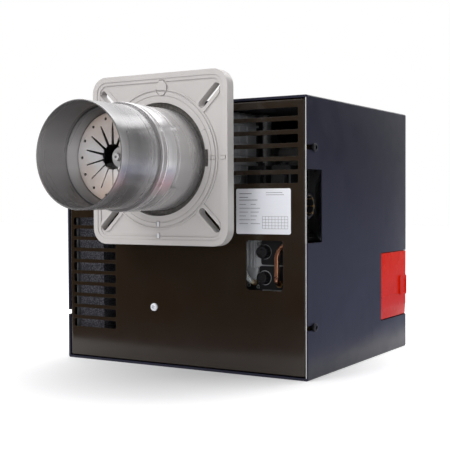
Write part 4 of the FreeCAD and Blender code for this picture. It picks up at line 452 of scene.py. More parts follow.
# Mesh kit: everything in it is in millimetres until a piece is finished

def mesh_of(bm):
    """A mesh from an edit mesh, which is freed."""
    mesh = bpy.data.meshes.new("form")
    bm.normal_update()
    bm.to_mesh(mesh)
    bm.free()
    return mesh


def box(x, y, z, radius=0.0, axis="Z", steps=5):
    """A box between two ends on each axis, its edges along one axis rounded."""
    bm = bmesh.new()
    bmesh.ops.create_cube(bm, size=1.0)
    for v in bm.verts:
        for k, span in enumerate((x, y, z)):
            v.co[k] = span[0] + (v.co[k] + 0.5) * (span[1] - span[0])
    if radius:
        k = "XYZ".index(axis)
        edges = [e for e in bm.edges if abs(e.verts[0].co[k] - e.verts[1].co[k]) > 1e-6]
        bmesh.ops.bevel(bm, geom=edges, offset=radius, segments=steps, affect="EDGES", profile=0.5)
    return mesh_of(bm)


def turned(profile, axis="Y", centre=(0.0, 0.0), steps=96, closed=True):
    """Turns (distance along the axis, radius) points; centre is the axis's place on the other two axes."""
    bm = bmesh.new()
    rings = []
    for along, radius in profile:
        count = 1 if radius < 1e-6 else steps
        ring = []
        for k in range(count):
            angle = 2 * math.pi * k / steps
            a = centre[0] + radius * math.cos(angle)
            b = centre[1] + radius * math.sin(angle)
            ring.append(bm.verts.new({"X": (along, a, b), "Y": (a, along, b), "Z": (a, b, along)}[axis]))
        rings.append(ring)
    for one, two in zip(rings, rings[1:] + (rings[:1] if closed else [])):
        if len(one) == len(two) == 1:
            continue
        for k in range(steps):
            corners = [one[k % len(one)], one[(k + 1) % len(one)], two[(k + 1) % len(two)], two[k % len(two)]]
            bm.faces.new(list(dict.fromkeys(corners)))
    bmesh.ops.recalc_face_normals(bm, faces=bm.faces)
    return mesh_of(bm)


def rod(radius, start, axis, length, steps=48):
    """A solid cylinder that starts at a point and runs along an axis."""
    k = "XYZ".index(axis)
    centre = [c for i, c in enumerate(start) if i != k]
    low, high = start[k], start[k] + length
    return turned([(low, 0.0), (low, radius), (high, radius), (high, 0.0)], axis, centre, steps, False)


def collar(low, high, inner, outer, axis="Y", centre=(0.0, 0.0), steps=160):
    """A tube of square section between two places on its axis."""
    return turned([(low, inner), (low, outer), (high, outer), (high, inner)], axis, centre, steps)


def prism(outline, axis, low, high):
    """A flat outline (two coordinates a point) drawn out along an axis."""
    bm = bmesh.new()
    ends = []
    for along in (low, high):
        points = [{"X": (along, a, b), "Y": (a, along, b), "Z": (a, b, along)}[axis] for a, b in outline]
        ends.append([bm.verts.new(p) for p in points])
    bm.faces.new(ends[0])
    bm.faces.new(ends[1])
    for k in range(len(outline)):
        j = (k + 1) % len(outline)
        bm.faces.new((ends[0][k], ends[0][j], ends[1][j], ends[1][k]))
    bmesh.ops.recalc_face_normals(bm, faces=bm.faces)
    return mesh_of(bm)


def moved(mesh, matrix):
    mesh.transform(matrix)
    return mesh


def spun(mesh, degrees, axis="Y"):
    """The mesh turned about an axis through the origin."""
    return moved(mesh, Matrix.Rotation(math.radians(degrees), 4, axis))


def together(meshes):
    """Several meshes as one, just laid side by side."""
    bm = bmesh.new()
    for mesh in meshes:
        bm.from_mesh(mesh)
        bpy.data.meshes.remove(mesh)
    return mesh_of(bm)


def combined(base, tools, operation):
    """The base mesh with each tool cut from it or joined to it."""
    scene = bpy.context.scene.collection.objects
    host = bpy.data.objects.new("host", base)
    scene.link(host)
    helpers = [host]
    for tool in tools:
        helper = bpy.data.objects.new("helper", tool)
        scene.link(helper)
        helpers.append(helper)
        modifier = host.modifiers.new("form", "BOOLEAN")
        modifier.operation = operation
        modifier.solver = "EXACT"
        modifier.object = helper
    graph = bpy.context.evaluated_depsgraph_get()
    mesh = bpy.data.meshes.new_from_object(host.evaluated_get(graph))
    for obj in helpers:
        old = obj.data
        bpy.data.objects.remove(obj)
        bpy.data.meshes.remove(old)
    return mesh


def cut(base, *tools):
    return combined(base, tools, "DIFFERENCE")


def joined(base, *tools):
    return combined(base, tools, "UNION")


def piece(name, mesh, body, slot, *nodes, edge=0.0, angle=32.0, steps=2):
    """A finished piece from a mesh in millimetres, with its hard edges softened."""
    mesh.transform(Matrix.Scale(MM, 4))
    mesh.name = name
    mesh.materials.clear()
    mesh.materials.append(finish_of(slot))
    for face in mesh.polygons:
        face.use_smooth = True
        face.material_index = 0
    obj = bpy.data.objects.new(name, mesh)
    bpy.context.scene.collection.objects.link(obj)
    if edge:
        bevel = obj.modifiers.new("edges", "BEVEL")
        bevel.width = edge * MM
        bevel.segments = steps
        bevel.limit_method = "ANGLE"
        bevel.angle_limit = math.radians(angle)
        bevel.harden_normals = True
        bevel.miter_outer = "MITER_ARC"
    mesh.set_sharp_from_angle(angle=math.radians(angle))
    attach(obj, body)
    if nodes:
        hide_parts(*nodes)
    return obj


def arc(centre, radius, start, end, steps):
    """Points on an arc in a plane, angles in degrees."""
    turn = [math.radians(start + (end - start) * k / steps) for k in range(steps + 1)]
    return [(centre[0] + radius * math.cos(a), centre[1] + radius * math.sin(a)) for a in turn]


# Flame tube

def groove(at, radius, width, depth):
    """Four profile points of a fine turned groove."""
    return [(at - width / 2, radius), (at - width / 4, radius - depth), (at + width / 4, radius - depth),
            (at + width / 2, radius)]


def flame_tube():
    """Mouth tube with a rolled rim and fine grooves, the band behind it and the rear tube."""
    shoulder = BAND_FRONT - 0.5
    profile = arc((MOUTH_FRONT + 1.0, MOUTH_R - 1.0), 1.0, 270, 90, 8)
    profile += groove(MOUTH_FRONT + 10.0, MOUTH_R, 0.8, 0.15)
    profile += groove(BAND_FRONT - 15.0, MOUTH_R, 1.6, 0.45)
    profile += groove(BAND_FRONT - 8.5, MOUTH_R, 1.2, 0.3)
    profile += [(shoulder - 0.9, MOUTH_R), (shoulder - 0.3, MOUTH_R - 0.25), (shoulder, MOUTH_R - 0.7)]
    profile += [(shoulder, SPIGOT_R), (SPIGOT_BACK, SPIGOT_R), (SPIGOT_BACK, MOUTH_R - MOUTH_WALL)]
    piece("flame_tube_mouth", turned(profile, steps=192), "burner", "stainless", "mouth_tube")
    front, back = BAND_FRONT, BAND_BACK
    low, high = REAR_TUBE_R, BAND_R
    flat = high - 0.45
    band = [(front, low), (front, high - 0.5)] + arc((front + 1.6, high - 1.6), 1.6, 150, 60, 5)
    band += [(front + 4.2, flat), (front + 9.0, flat)] + arc((front + 11.0, flat - 2.0), 2.4, 130, 50, 6)
    band += [(front + 13.0, flat), (back - 4.6, flat)] + arc((back - 2.0, high - 2.0), 2.0, 110, 25, 6)
    band.append((back, low))
    piece("flame_tube_band", turned(band, steps=192), "burner", "stainless", "tube_band")
    tube = [(front, REAR_TUBE_BORE), (front, low - 0.5), (front + 0.5, low), (back + 1.2, low)]
    tube += groove(back + 6.0, low, 1.2, 0.25) + [(REAR_TUBE_BACK, low), (REAR_TUBE_BACK, REAR_TUBE_BORE)]
    piece("flame_tube_rear", turned(tube, steps=192), "burner", "stainless", "rear_tube")


def diffuser():
    """Pressed disc whose sectors are tilted like vanes between its radial slots."""
    count, cells = DISC_SLOTS, 10
    radii = [DISC_HOLE_R, 15.4, 17.5, 20, 23, 26, 29, 32, 35, 37.5, DISC_SLOT_END_R]
    radii += [40.2, 42.5, DISC_DOT_R, 47, 49.4, DISC_R - 1.2, DISC_R - 0.35, DISC_R]
    bm = bmesh.new()
    grid = []
    step = 2 * math.pi / count
    for radius in radii:
        inward = max(0.0, min(1.0, (DISC_SLOT_END_R - radius) / (DISC_SLOT_END_R - DISC_HOLE_R)))
        half = math.asin(DISC_SLOT_WIDTH * (0.55 + 0.45 * inward) / 2 / radius)
        fade = max(0.0, min(1.0, (DISC_SLOT_END_R - radius) / 9.0))
        dish = 0.9 * max(0.0, (radius - 46.0) / 5.0) ** 2
        row = []
        for k in range(count):
            for j in range(cells + 1):
                share = j / cells
                angle = (k - 0.5) * step + half + share * (step - 2 * half)
                lift = VANE_LIFT * (2 * share - 1) * fade * fade * (3 - 2 * fade)
                place = (radius * math.cos(angle), DISC_FRONT + dish + 0.2 - lift, -radius * math.sin(angle))
                row.append(bm.verts.new(place))
        grid.append(row)
    for i, (inner, outer) in enumerate(zip(grid, grid[1:])):
        open_slot = radii[i] < DISC_SLOT_END_R
        for k in range(len(inner)):
            if open_slot and k % (cells + 1) == cells:
                continue
            j = (k + 1) % len(inner)
            bm.faces.new((inner[k], inner[j], outer[j], outer[k]))
    bmesh.ops.recalc_face_normals(bm, faces=bm.faces)
    if bm.faces[0].normal.y > 0:
        bmesh.ops.reverse_faces(bm, faces=bm.faces)
    shell = bmesh.ops.extrude_face_region(bm, geom=bm.faces[:])
    for v in [g for g in shell["geom"] if isinstance(g, bmesh.types.BMVert)]:
        v.co.y += DISC_SHEET - 0.2
    bmesh.ops.recalc_face_normals(bm, faces=bm.faces)
    disc = mesh_of(bm)
    dots = []
    for k in range(count):
        angle = k * 2 * math.pi / count
        at = (DISC_DOT_R * math.cos(angle), DISC_FRONT - 2, DISC_DOT_R * math.sin(angle))
        dots.append(rod(1.7, at, "Y", 6, 20))
    disc = cut(disc, together(dots))
    rim = collar(DISC_FRONT + 1.1, DISC_FRONT + 8, DISC_R - 1.4, DISC_R, steps=112)
    struts = []
    for k in range(3):
        angle = math.radians(90 + 120 * k)
        at = (DISC_STRUT_R * math.cos(angle), DISC_FRONT + 1.4, DISC_STRUT_R * math.sin(angle))
        struts.append(rod(2.0, at, "Y", SPIDER_Y - DISC_FRONT - 1.4, 24))
    whole = together([disc, rim] + struts)
    return piece("diffuser", whole, "head", "disc_steel", "diffuser_disc", edge=0.18, steps=1)


# Mounting flange

def stadium(angle, inner, outer, half, low, high):
    """A long rounded slot or pad on a diagonal of the flange."""
    ends = arc((outer, 0.0), half, -90, 90, 8) + arc((inner, 0.0), half, 90, 270, 8)
    return spun(prism(ends, "Y", low, high), -angle)


def tick(angle, radius, length, width, low, high):
    """A short raised or sunk mark on the flange, across a radius."""
    across, along = (radius - length / 2, radius + length / 2), (-width / 2, width / 2)
    return spun(box(across, (low, high), along, 0.3, "Y", 2), -angle)


def octagon(wide, tall):
    """Eight corners of the raised pad above the flange's bore, or of the moat round it."""
    turn = [math.radians(22.5 + 45 * k) for k in range(8)]
    return [(6 + wide * math.cos(a), 86.0 + tall * math.sin(a)) for a in turn]


def inset_plate(inset, low, high, radius):
    """A plate like the flange's, drawn in from its edges."""
    half_x, half_z = FLANGE_WIDTH / 2 - inset, FLANGE_HEIGHT / 2 - inset
    return box((-half_x, half_x), (low, high), (-half_z, half_z), radius, "Y", 8 if inset else 10)


def flange_face():
    """The plate with its sunk border, raised pads and marks, before the hub and the holes."""
    places = [(angle, radius) for angle in (0, 180, 270) for radius in TICK_RADII]
    plate = cut(inset_plate(0.0, 0.0, FLANGE_THICK, FLANGE_CORNER_R),
                inset_plate(6.5, -1.0, 1.0, 14.0), inset_plate(10.5, -1.0, 2.4, 10.5))
    island = turned([(0.6, 0.0), (0.6, FLANGE_RING_R), (PAD_BACK, FLANGE_RING_R), (PAD_BACK, 0.0)], steps=160,
                    closed=False)
    raised = joined(plate, island, *[stadium(a, 87.0, 112.5, 8.6, 0.8, PAD_BACK) for a in FLANGE_SLOT_ANGLES])
    seats = [tick(a, r, 8.2, 5.4, -1.0, 1.6) for a, r in places]
    sunk = cut(raised, prism(octagon(8.9, 10.8), "Y", -1.0, 2.4), *seats)
    marks = [tick(a, r, 6.4, 3.6, 0.05, PAD_BACK) for a, r in places]
    return joined(sunk, prism(octagon(7.6, 9.4), "Y", 0.0, PAD_BACK), *marks)


def flange():
    """Cast flange: a face with pads, a split hub that clamps the tube, and four long holes."""
    face, rear, low, gap = FLANGE_THICK, HUB_BACK, -HUB_R - CLAMP_DROP, CLAMP_GAP / 2
    outline = [(face - 1, HUB_BORE_R - 1), (face - 1, HUB_R + 1.5), (face, HUB_R + 1.5), (face + 1.5, HUB_R)]
    outline += [(rear - 1, HUB_R), (rear, HUB_R - 1), (rear, HUB_BORE_R - 1)]
    lugs = [box(span, (face + 4, rear), (low, -HUB_R + 8), 3.0, "X", 4)
            for span in ((gap, CLAMP_LUG + gap), (-CLAMP_LUG - gap, -gap))]
    body = joined(flange_face(), turned(outline, steps=160), *lugs)
    step = 10.0
    bore = [(-1, 0), (-1, FLANGE_BORE_R + 0.8), (0.6, FLANGE_BORE_R), (step, FLANGE_BORE_R)]
    bore += [(step, HUB_BORE_R), (rear + 2, HUB_BORE_R), (rear + 2, 0)]
    tools = [collar(-1, 1.9, FLANGE_RING_R - 3.4, FLANGE_RING_R - 1.6), collar(-1, 1.3, 76.0, 77.2)]
    tools.append(turned(bore, steps=160, closed=False))
    tools.append(box((FLANGE_BORE_R - 2, FLANGE_BORE_R + 3.6), (-1, 6.0), (-10.0, 10.0), 1.0, "Y", 3))
    tools.append(box((-gap, gap), (face + 1, rear + 1), (low - 3, -HUB_BORE_R + 1)))
    reach = CLAMP_LUG + 4
    tools.append(rod(4.1, (-reach, rear - 8, -HUB_R - CLAMP_DROP / 2), "X", 2 * reach))
    tools += [stadium(a, 89.5, 117.5, 4.5, -1, face + 1) for a in FLANGE_SLOT_ANGLES]
    piece("flange_casting", cut(body, *tools), "flange", "cast_aluminium", "mounting_flange")
    faces = [tick(270, radius, 5.6, 2.8, -0.02, 0.3) for radius in TICK_RADII]
    return piece("flange_marks", together(faces), "flange", "plate", edge=0.1)


# Burner head, seen through the disc

def step_cone():
    """Rolled cone that narrows the mouth to the disc, with a bead at its wide end."""
    wide, throat = MOUTH_R - MOUTH_WALL, DISC_R + 1.0
    profile = arc((STEP_FRONT + 0.9, wide - 0.95), 0.9, 250, 60, 7)
    profile += [(DISC_FRONT, throat + 1.5), (DISC_FRONT + 12.0, throat + 1.5), (DISC_FRONT + 12.0, throat)]
    profile += [(DISC_FRONT, throat), (DISC_FRONT - 1.0, throat + 0.3)]
    return piece("step_cone", turned(profile, steps=160), "burner", "stainless", "step_ring")


def nozzle():
    """Slim tip on a hexagon, with the gas bore and a ring of small side holes."""
    front, back = NOZZLE_FRONT, NOZZLE_FRONT + 16.0
    tip = turned([(front, 1.6), (front, 4.1), (front + 0.5, 4.5), (front + 6.0, 4.5), (front + 7.2, 5.6),
                  (front + 8.6, 8.5), (front + 9.0, 11.8), (back, 11.8), (back, 1.6)], steps=48)
    holes = []
    for k in range(6):
        holes.append(spun(rod(0.8, (2.0, front + 3.0, 0.0), "X", 4, 12), 60 * k))
    grooves = [collar(at, at + 0.8, 11.2, 13.0, steps=48) for at in (front + 10.5, front + 12.5)]
    return piece("nozzle", cut(tip, together(holes), *grooves), "head", "disc_steel", "gas_nozzle", edge=0.2)


def ignition():
    """Glazed ceramics with collars, and their wire electrodes."""
    places = [(-24.0, -13.0), (24.0, -13.0), (0.0, 27.0)]
    front = SPIDER_Y - 14.0
    ceramics, wires = [], []
    for x, z in places:
        profile = [(front, 1.5), (front + 0.4, 2.6), (front + 4.0, 3.2)]
        for k in range(5):
            at = front + 24.0 + 5.0 * k
            profile += [(at, 3.4), (at + 0.8, 4.0), (at + 2.6, 4.0), (at + 3.4, 3.4)]
        profile += [(front + 57.4, 3.7), (front + 58.0, 3.2), (front + 58.0, 1.5)]
        ceramics.append(turned(profile, "Y", (x, z), 32))
        wires.append(rod(1.4, (x, front - 7.0, z), "Y", 77.0, 16))
        wires.append(rod(2.4, (x, front + 58.0, z), "Y", 8.0, 16))
    piece("ceramics", together(ceramics), "head", "ceramic", "electrodes")
    return piece("electrode_wires", together(wires), "head", "bearing_steel")


# Pipes, hoses and cables

def strand(name, body, slot, node, *runs):
    """Smooth round lines through control points: each run is a radius and its points, in millimetres."""
    data = bpy.data.curves.new(name, "CURVE")
    data.dimensions = "3D"
    data.resolution_u = 10
    data.bevel_depth = MM
    data.bevel_resolution = 5
    data.use_fill_caps = True
    for radius, points in runs:
        line = data.splines.new("NURBS")
        line.points.add(len(points) - 1)
        for point, place in zip(line.points, points):
            point.co = (*(Vector(place) * MM), 1.0)
            point.radius = radius
        line.order_u = 3
        line.use_endpoint_u = True
    data.materials.append(finish_of(slot))
    obj = bpy.data.objects.new(name, data)
    bpy.context.scene.collection.objects.link(obj)
    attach(obj, body)
    if node:
        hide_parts(node)
    return obj


def lines():
    """The copper pipe, the clear hose, the spark leads and the wiring, with their nuts and boots."""
    pipe = [(134, 64, -151), (134, 53, -151), (136, 52, -130), (135, 52, -112), (150, 57, -98)]
    pipe += [(158, 66, -90), (158, 66, -78)]
    strand("copper_line", "burner", "copper", "copper_pipe", (3.0, pipe))
    hose = [(99, 64, -150), (99, 55, -150), (90, 54, -137), (89, 55, -115), (92, 56, -92), (90, 57, -68)]
    hose += [(82, 62, -48), (78, 66, -40), (70, 66, -40)]
    strand("clear_hose", "burner", "silicone", "pressure_hose", (2.6, hose))
    nuts = [rod(4.6, (134, 60.5, -151), "Y", 3.5, 6), rod(3.5, (99, 60.5, -150), "Y", 3.5, 16),
            rod(4.4, (158, 66, -82), "Z", 4.0, 6)]
    piece("line_fittings", together(nuts), "burner", "brass", edge=0.3)
    left = [(-30, 163, -214.5), (-30, 142, -214.5), (-34, 133, -190.5), (-41, 130, -162.5)]
    left += [(-40, 128, -126.5), (-40, 128, -72)]
    right = [(5, 163, -214.5), (5, 142, -214.5), (15, 133, -190.5), (29, 130, -162.5)]
    right += [(30, 128, -126.5), (30, 128, -72)]
    strand("spark_leads", "burner", "cable", "ignition_leads", (3.4, left), (3.4, right))
    motor = [(129.5, 310, -150), (115.5, 310, -150), (105.5, 309, -130), (94, 308, -104), (90, 306, -78)]
    motor += [(90, 303, -55), (90, 291, -55)]
    valves = [(129.5, 330, -205), (115.5, 330, -205), (107.5, 322, -228), (107.5, 294, -247.3)]
    valves += [(112.5, 245, -247.3), (110.5, 195, -247.3), (114.5, 160, -241.3), (115.5, 142, -209.3)]
    valves += [(115.5, 139, -169.3), (115.5, 136, -112), (115.5, 127, -96), (115.5, 118, -96)]
    case = [(129.5, 345, -205), (115.5, 345, -205), (99.5, 338, -226), (77.5, 318, -247.3)]
    case += [(55.5, 292, -247.3), (30, 276, -243.3), (12, 264, -231.3), (12, 250, -231.3)]
    strand("wiring", "burner", "cable", "wiring_harness", (2.8, motor), (3.0, valves), (2.8, case))
    socket = [(149.5, 3.5), (149.5, 5.2), (159.5, 6.6), (163, 6.6), (163, 3.5)]
    cap = [(-84, 3.5), (-84, 5.4), (-81, 6.0), (-76, 6.0), (-76, 3.5)]
    gland = [(121.5, 2.8), (121.5, 4.4), (129.5, 5.2), (129.5, 2.8)]
    boots = [turned(socket, "Y", (x, -214.5), 32) for x in (-30, 5)]
    boots += [turned(cap, "Z", (x, 128), 32) for x in (-40, 30)]
    boots += [turned(gland, "X", at, 24) for at in ((310, -150), (330, -205), (345, -205))]
    boots.append(turned([(118, 3.0), (118, 6.0), (124, 5.4), (132, 4.4), (132, 3.0)], "Y", (115.5, -96), 24))
    return piece("cable_boots", together(boots), "burner", "black_plastic", edge=0.4)


# Gas train

def knobs():
    """Adjusting knobs with finger grooves, a face recess and a pointer."""
    made = []
    front, back = KNOB_Y
    for name, node, z, radius, body in (("main_gas_knob", "regulator_knob", MAIN_KNOB_Z, 8.5, "gas_knob"),
                                        ("start_knob", "start_gas_knob", START_KNOB_Z, 8.0, "start_knob")):
        profile = [(back, KNOB_BORE_R), (back, radius), (back - 1.2, radius), (back - 1.8, radius - 0.6)]
        profile += [(front + 1.4, radius - 0.9), (front + 0.3, radius - 1.6), (front, radius - 2.6)]
        profile += [(front, radius - 3.6), (front + 1.2, radius - 4.0), (front + 1.2, 0.0)]
        profile += [(front + 2.2, 0.0), (front + 2.2, KNOB_BORE_R)]
        skirt = turned(profile, "Y", (KNOB_X, z), 60)
        grips = [rod(1.3, (a, front - 1.2, b), "Y", 9.6, 16) for a, b in arc((KNOB_X, z), radius, 0, 324, 9)]
        edge = z + radius
        pointer = box((KNOB_X - 0.5, KNOB_X + 0.5), (front + 0.1, front + 1.8), (edge - 6.0, edge - 2.2))
        knob = together([cut(skirt, together(grips)), pointer])
        made.append(piece(name, knob, body, "black_plastic", node, edge=0.25))
    return made


def valve():
    """Die-cast valve body with ribs, a web, screwed covers, dark regulator faces and a black sheet low on its
    front that paints shade.
    """
    x, y, z = VALVE_X, VALVE_Y, VALVE_Z
    block = box(x, y, z, 6.0, "Z", 6)
    shapes = []
    for left in (88.0, 93.2, 98.4):
        shapes.append(box((left, left + 2.2), (y[0] - 2.5, y[0] + 1), (z[0] + 28, z[1] - 6), 0.9, "Z", 3))
    web = [(88.5, -150.5), (88.5, -148.5), (104.0, -131.0), (105.0, -134.0), (100.5, -150.5)]
    shapes.append(prism(web, "Y", 62.0, 65))
    shapes.append(rod(17.0, (129.0, *GAS_INLET), "X", 21.0, 64))
    shapes.append(rod(17.0, (76.0, *GAS_OUTLET), "X", 9.0, 48))
    for height, radius in ((MAIN_KNOB_Z, 10.0), (START_KNOB_Z, 9.5)):
        shapes.append(rod(radius, (KNOB_X, y[0] - 2.5, height), "Y", 4, 48))
        shapes.append(rod(3.0, (KNOB_X, y[0] - 10.0, height), "Y", 12, 24))
    for low in (-152, -118, -84):
        shapes.append(box((x[1] - 1, x[1] + 1.6), (y[0] + 8, y[1] - 8), (low, low + 26), 3.0, "X", 3))
    tools = [rod(9.4, (67.0, *GAS_OUTLET), "X", 30, 40), rod(10.0, (128.0, *GAS_INLET), "X", 30, 48)]
    body = cut(joined(block, *shapes), *tools)
    piece("valve_casting", body, "burner", "cast_aluminium", "gas_valve_block", edge=0.5, steps=2)
    front, back = y[0] - 2.7, y[0] + 0.2
    # The first sheet, low on the block's front under the window's lower edge, is a black sheet that paints
    # shade there.
    faces = [box((86.0, 110.0), (back - 1.0, back), (-159.5, -148.5), 2.0, "Y", 3)]
    for left, low, high, at in ((109.0, -128.0, -98.5, MAIN_KNOB_Z), (106.5, -158.0, -129.5, START_KNOB_Z)):
        face = joined(box((left, 143.5), (front, back), (low, high), 3.0, "Y", 4),
                      rod(10.2, (KNOB_X, front, at), "Y", back - front, 48))
        faces.append(cut(face, rod(8.9, (KNOB_X, front - 1.3, at), "Y", 6, 40)))
        for z in (low + 4.0, high - 4.0):
            faces.append(rod(2.2, (140.0, front - 0.9, z), "Y", 1.4, 20))
    piece("valve_faces", together(faces), "burner", "black_plastic", edge=0.4)
    seats = []
    for x, z in ((91.0, -153.5), (104.5, -102.5), (104.0, -155.0), (86.5, -44.5), (142.5, -44.5)):
        place = Matrix.Translation((x, y[0], z)) @ Matrix.Rotation(math.radians(90), 4, "X")
        seats.append(moved(recessed_screw(2.6, 1.6, 1.0, "cross"), place))
    return piece("valve_screws", together(seats), "burner", "zinc_steel", edge=0.1)


def gas_socket():
    """Dark union body with spanner flats, a bright thread in its mouth and the pilot boss below."""
    (seat, mouth), (y, z) = SOCKET_X, GAS_INLET
    outline = [(seat, 12.3), (seat, 16.0), (seat + 5.0, 16.0), (seat + 5.5, 14.6), (seat + 8.5, 14.6)]
    outline += [(seat + 9.0, 16.0), (mouth - 1.0, 16.0), (mouth, 15.0), (mouth, 12.9), (mouth - 0.8, 12.3)]
    boss = cut(rod(4.5, (seat + 8.0, y, z - 21.0), "Z", 12, 24), rod(12.6, (seat - 1.0, y, z), "X", 24, 48))
    body = together([turned(outline, "X", GAS_INLET, 8), boss])
    piece("union_body", body, "burner", "black_plastic", "gas_inlet_socket", edge=0.4)
    profile = [(seat + 0.5, 12.9)]
    for k in range(9):
        at = seat + 1.0 + 2.3 * k
        profile += [(at, 12.06), (at + 0.5, 12.06), (at + 1.15, 12.7), (at + 1.8, 12.06)]
    profile += [(mouth - 0.1, 12.1), (mouth - 0.1, 12.9)]
    return piece("union_thread", turned(profile, "X", GAS_INLET, 64), "burner", "brass")


def housing_side():
    """Ribs, a cable rail and a pale sealing strip on the housing's wall behind the right louvres."""
    x, bars = HOUSING_RIGHT, []
    for k in range(9):
        z = -60.0 + 13.2 * k
        bars.append(box((x - 0.5, x + 2.4), (50.0, 116.0), (z, z + 1.8), 0.8, "Y", 2))
    for y in (58.0, 76.0, 94.0):
        bars.append(box((x - 0.5, x + 1.6), (y, y + 2.0), (-68.0, 56.0)))
    piece("housing_ribs", together(bars), "burner", "cast_aluminium", edge=0.4)
    rail = [box((x, x + 2.6), (119.0, 133.0), (-66.0, 56.0), 1.0, "Z", 3)]
    for k in range(4):
        z = -52.0 + 31.0 * k
        rail.append(box((x, x + 3.4), (121.0, 131.0), (z, z + 4.0), 0.8, "X", 2))
    piece("cable_rail", together(rail), "burner", "black_plastic", edge=0.3)
    strip = [box((x + 0.5, x + 3.8), (136.0, 143.0), (-71.0, 59.0), 1.2, "Z", 3)]
    strip += [rod(2.6, (x + 3.0, 139.5, -58.0 + 28.0 * k), "X", 2.0, 6) for k in range(5)]
    return piece("housing_seal", together(strip), "burner", "pale_plastic", edge=0.3)


def painted_edge_highlight():
    """A pale strip in the fold between the panel and the hood's right lip, a painted highlight where the fold
    catches light.
    """
    across, along = (RIGHT - 2.9, RIGHT - 1.8), (FRONT - 0.35, FRONT + 0.4)
    strip = box(across, along, (FLOOR + 3.0, TOP - 3.0), 0.3, "Z", 2)
    return piece("painted_highlight_strip", strip, "hood", "pale_plastic", edge=0.1)


# Front panel, hood and what is fixed to them

def slot_cutters(x, low, pitch, count):
    """Blocks that cut a column of louvres, from its lowest slot up."""
    edges = [low + k * pitch for k in range(count)]
    return [box(x, (FRONT - 1, FRONT + 3), (z, z + LOUVRE_HEIGHT), 1.6, "Y", 4) for z in edges]


def panel():
    """Folded pan with rounded bends along its four front edges."""
    half, low, high = PANEL_HALF, PANEL_LOW, PANEL_HIGH
    shells = []
    for inset, radius in ((0.0, 2.4), (SHEET, 0.9)):
        bm = bmesh.new()
        across, along = (-half + inset, half - inset), (FRONT + inset, PANEL_REAR + inset)
        bm.from_mesh(box(across, along, (low + inset, high - inset)))
        front = [e for e in bm.edges if sum(v.co.y < FRONT + 3 for v in e.verts) >= 1]
        bmesh.ops.bevel(bm, geom=front, offset=radius, segments=5, affect="EDGES", profile=0.5)
        shells.append(mesh_of(bm))
    cutters = slot_cutters(LEFT_LOUVRE_X, -218.0, 15.07, 10) + slot_cutters(RIGHT_LOUVRE_X, -30.0, 15.6, 6)
    cutters.append(box(WINDOW_X, (FRONT - 1, FRONT + 3), WINDOW_Z, 4.0, "Y", 6))
    cutters.append(rod(PANEL_HOLE_R, (0, FRONT - 1, 0), "Y", 4, 128))
    cutters.append(box((half - 6, half + 1), (FRONT + 2.5, PANEL_REAR + 1), NOTCH_Z))
    for x in (-half - 1, half - 4):
        for z in SIDE_SCREW_Z:
            cutters.append(rod(2.7, (x, FRONT + 16, z), "X", 5, 24))
    sheet = cut(cut(*shells), *cutters)
    return piece("front_sheet", sheet, "burner", "panel_enamel", "front_panel", edge=0.35, steps=2)


def recessed_screw(radius, height, recess, kind):
    """A screw head that looks along +Z from its seat at zero: a domed pan with a cross or six-lobe recess."""
    profile = [(-1.0, 0.0), (-1.0, radius - 0.2), (0.0, radius), (height * 0.45, radius)]
    profile += [(height * (0.45 + 0.55 * math.sin(a)), radius - (radius * 0.42) * (1 - math.cos(a)))
                for a in (math.radians(90 * k / 5) for k in range(1, 6))]
    profile.append((height, 0.0))
    head = turned(profile, "Z", steps=40, closed=False)
    depth = height - recess
    tools = []
    if kind == "cross":
        for turn in (0, 90):
            arm = box((-radius * 0.52, radius * 0.52), (-0.55, 0.55), (depth, height + 1))
            tools.append(spun(arm, turn + 20, "Z"))
    else:
        lobes = []
        for k in range(36):
            a = math.radians(10 * k)
            r = radius * (0.47 + 0.09 * math.cos(6 * a))
            lobes.append((r * math.cos(a), r * math.sin(a)))
        tools.append(prism(lobes, "Z", depth, height + 1))
    return cut(head, *tools)


def screws():
    """The panel's front screw with its washer and nut, and the screws that hold the hood at its sides."""
    seat = Matrix.Translation((SCREW_X, FRONT, SCREW_Z))
    front = moved(recessed_screw(5.0, 2.6, 1.5, "cross"), seat @ Matrix.Rotation(math.radians(90), 4, "X"))
    face = FRONT - 0.7
    washer = turned([(face, 2.6), (face, 4.9), (FRONT, 5.0), (FRONT, 2.6)], "Y", (SCREW_X, SCREW_Z), 40)
    shank = rod(2.5, (SCREW_X, FRONT, SCREW_Z), "Y", 14, 32)
    nut = prism(arc((SCREW_X, SCREW_Z), 4.5, 0, 300, 5), "Y", FRONT + 1.5, FRONT + 5.5)
    piece("panel_screw", together([front, washer, shank, nut]), "burner", "plate", "front_screw", edge=0.2)
    bolts = []
    for side in (1, -1):
        turn = Matrix.Rotation(math.radians(90 * side), 4, "Y")
        for z in SIDE_SCREW_Z:
            place = Matrix.Translation((side * (RIGHT + 0.3), FRONT + 16, z))
            bolts.append(moved(recessed_screw(5.0, 3.2, 2.0, "lobes"), place @ turn))
            bolts.append(rod(2.5, (LEFT if side < 0 else RIGHT - 9, FRONT + 16, z), "X", 9, 24))
    return piece("side_screws", together(bolts), "burner", "black_plastic", "hood_screws", edge=0.2)


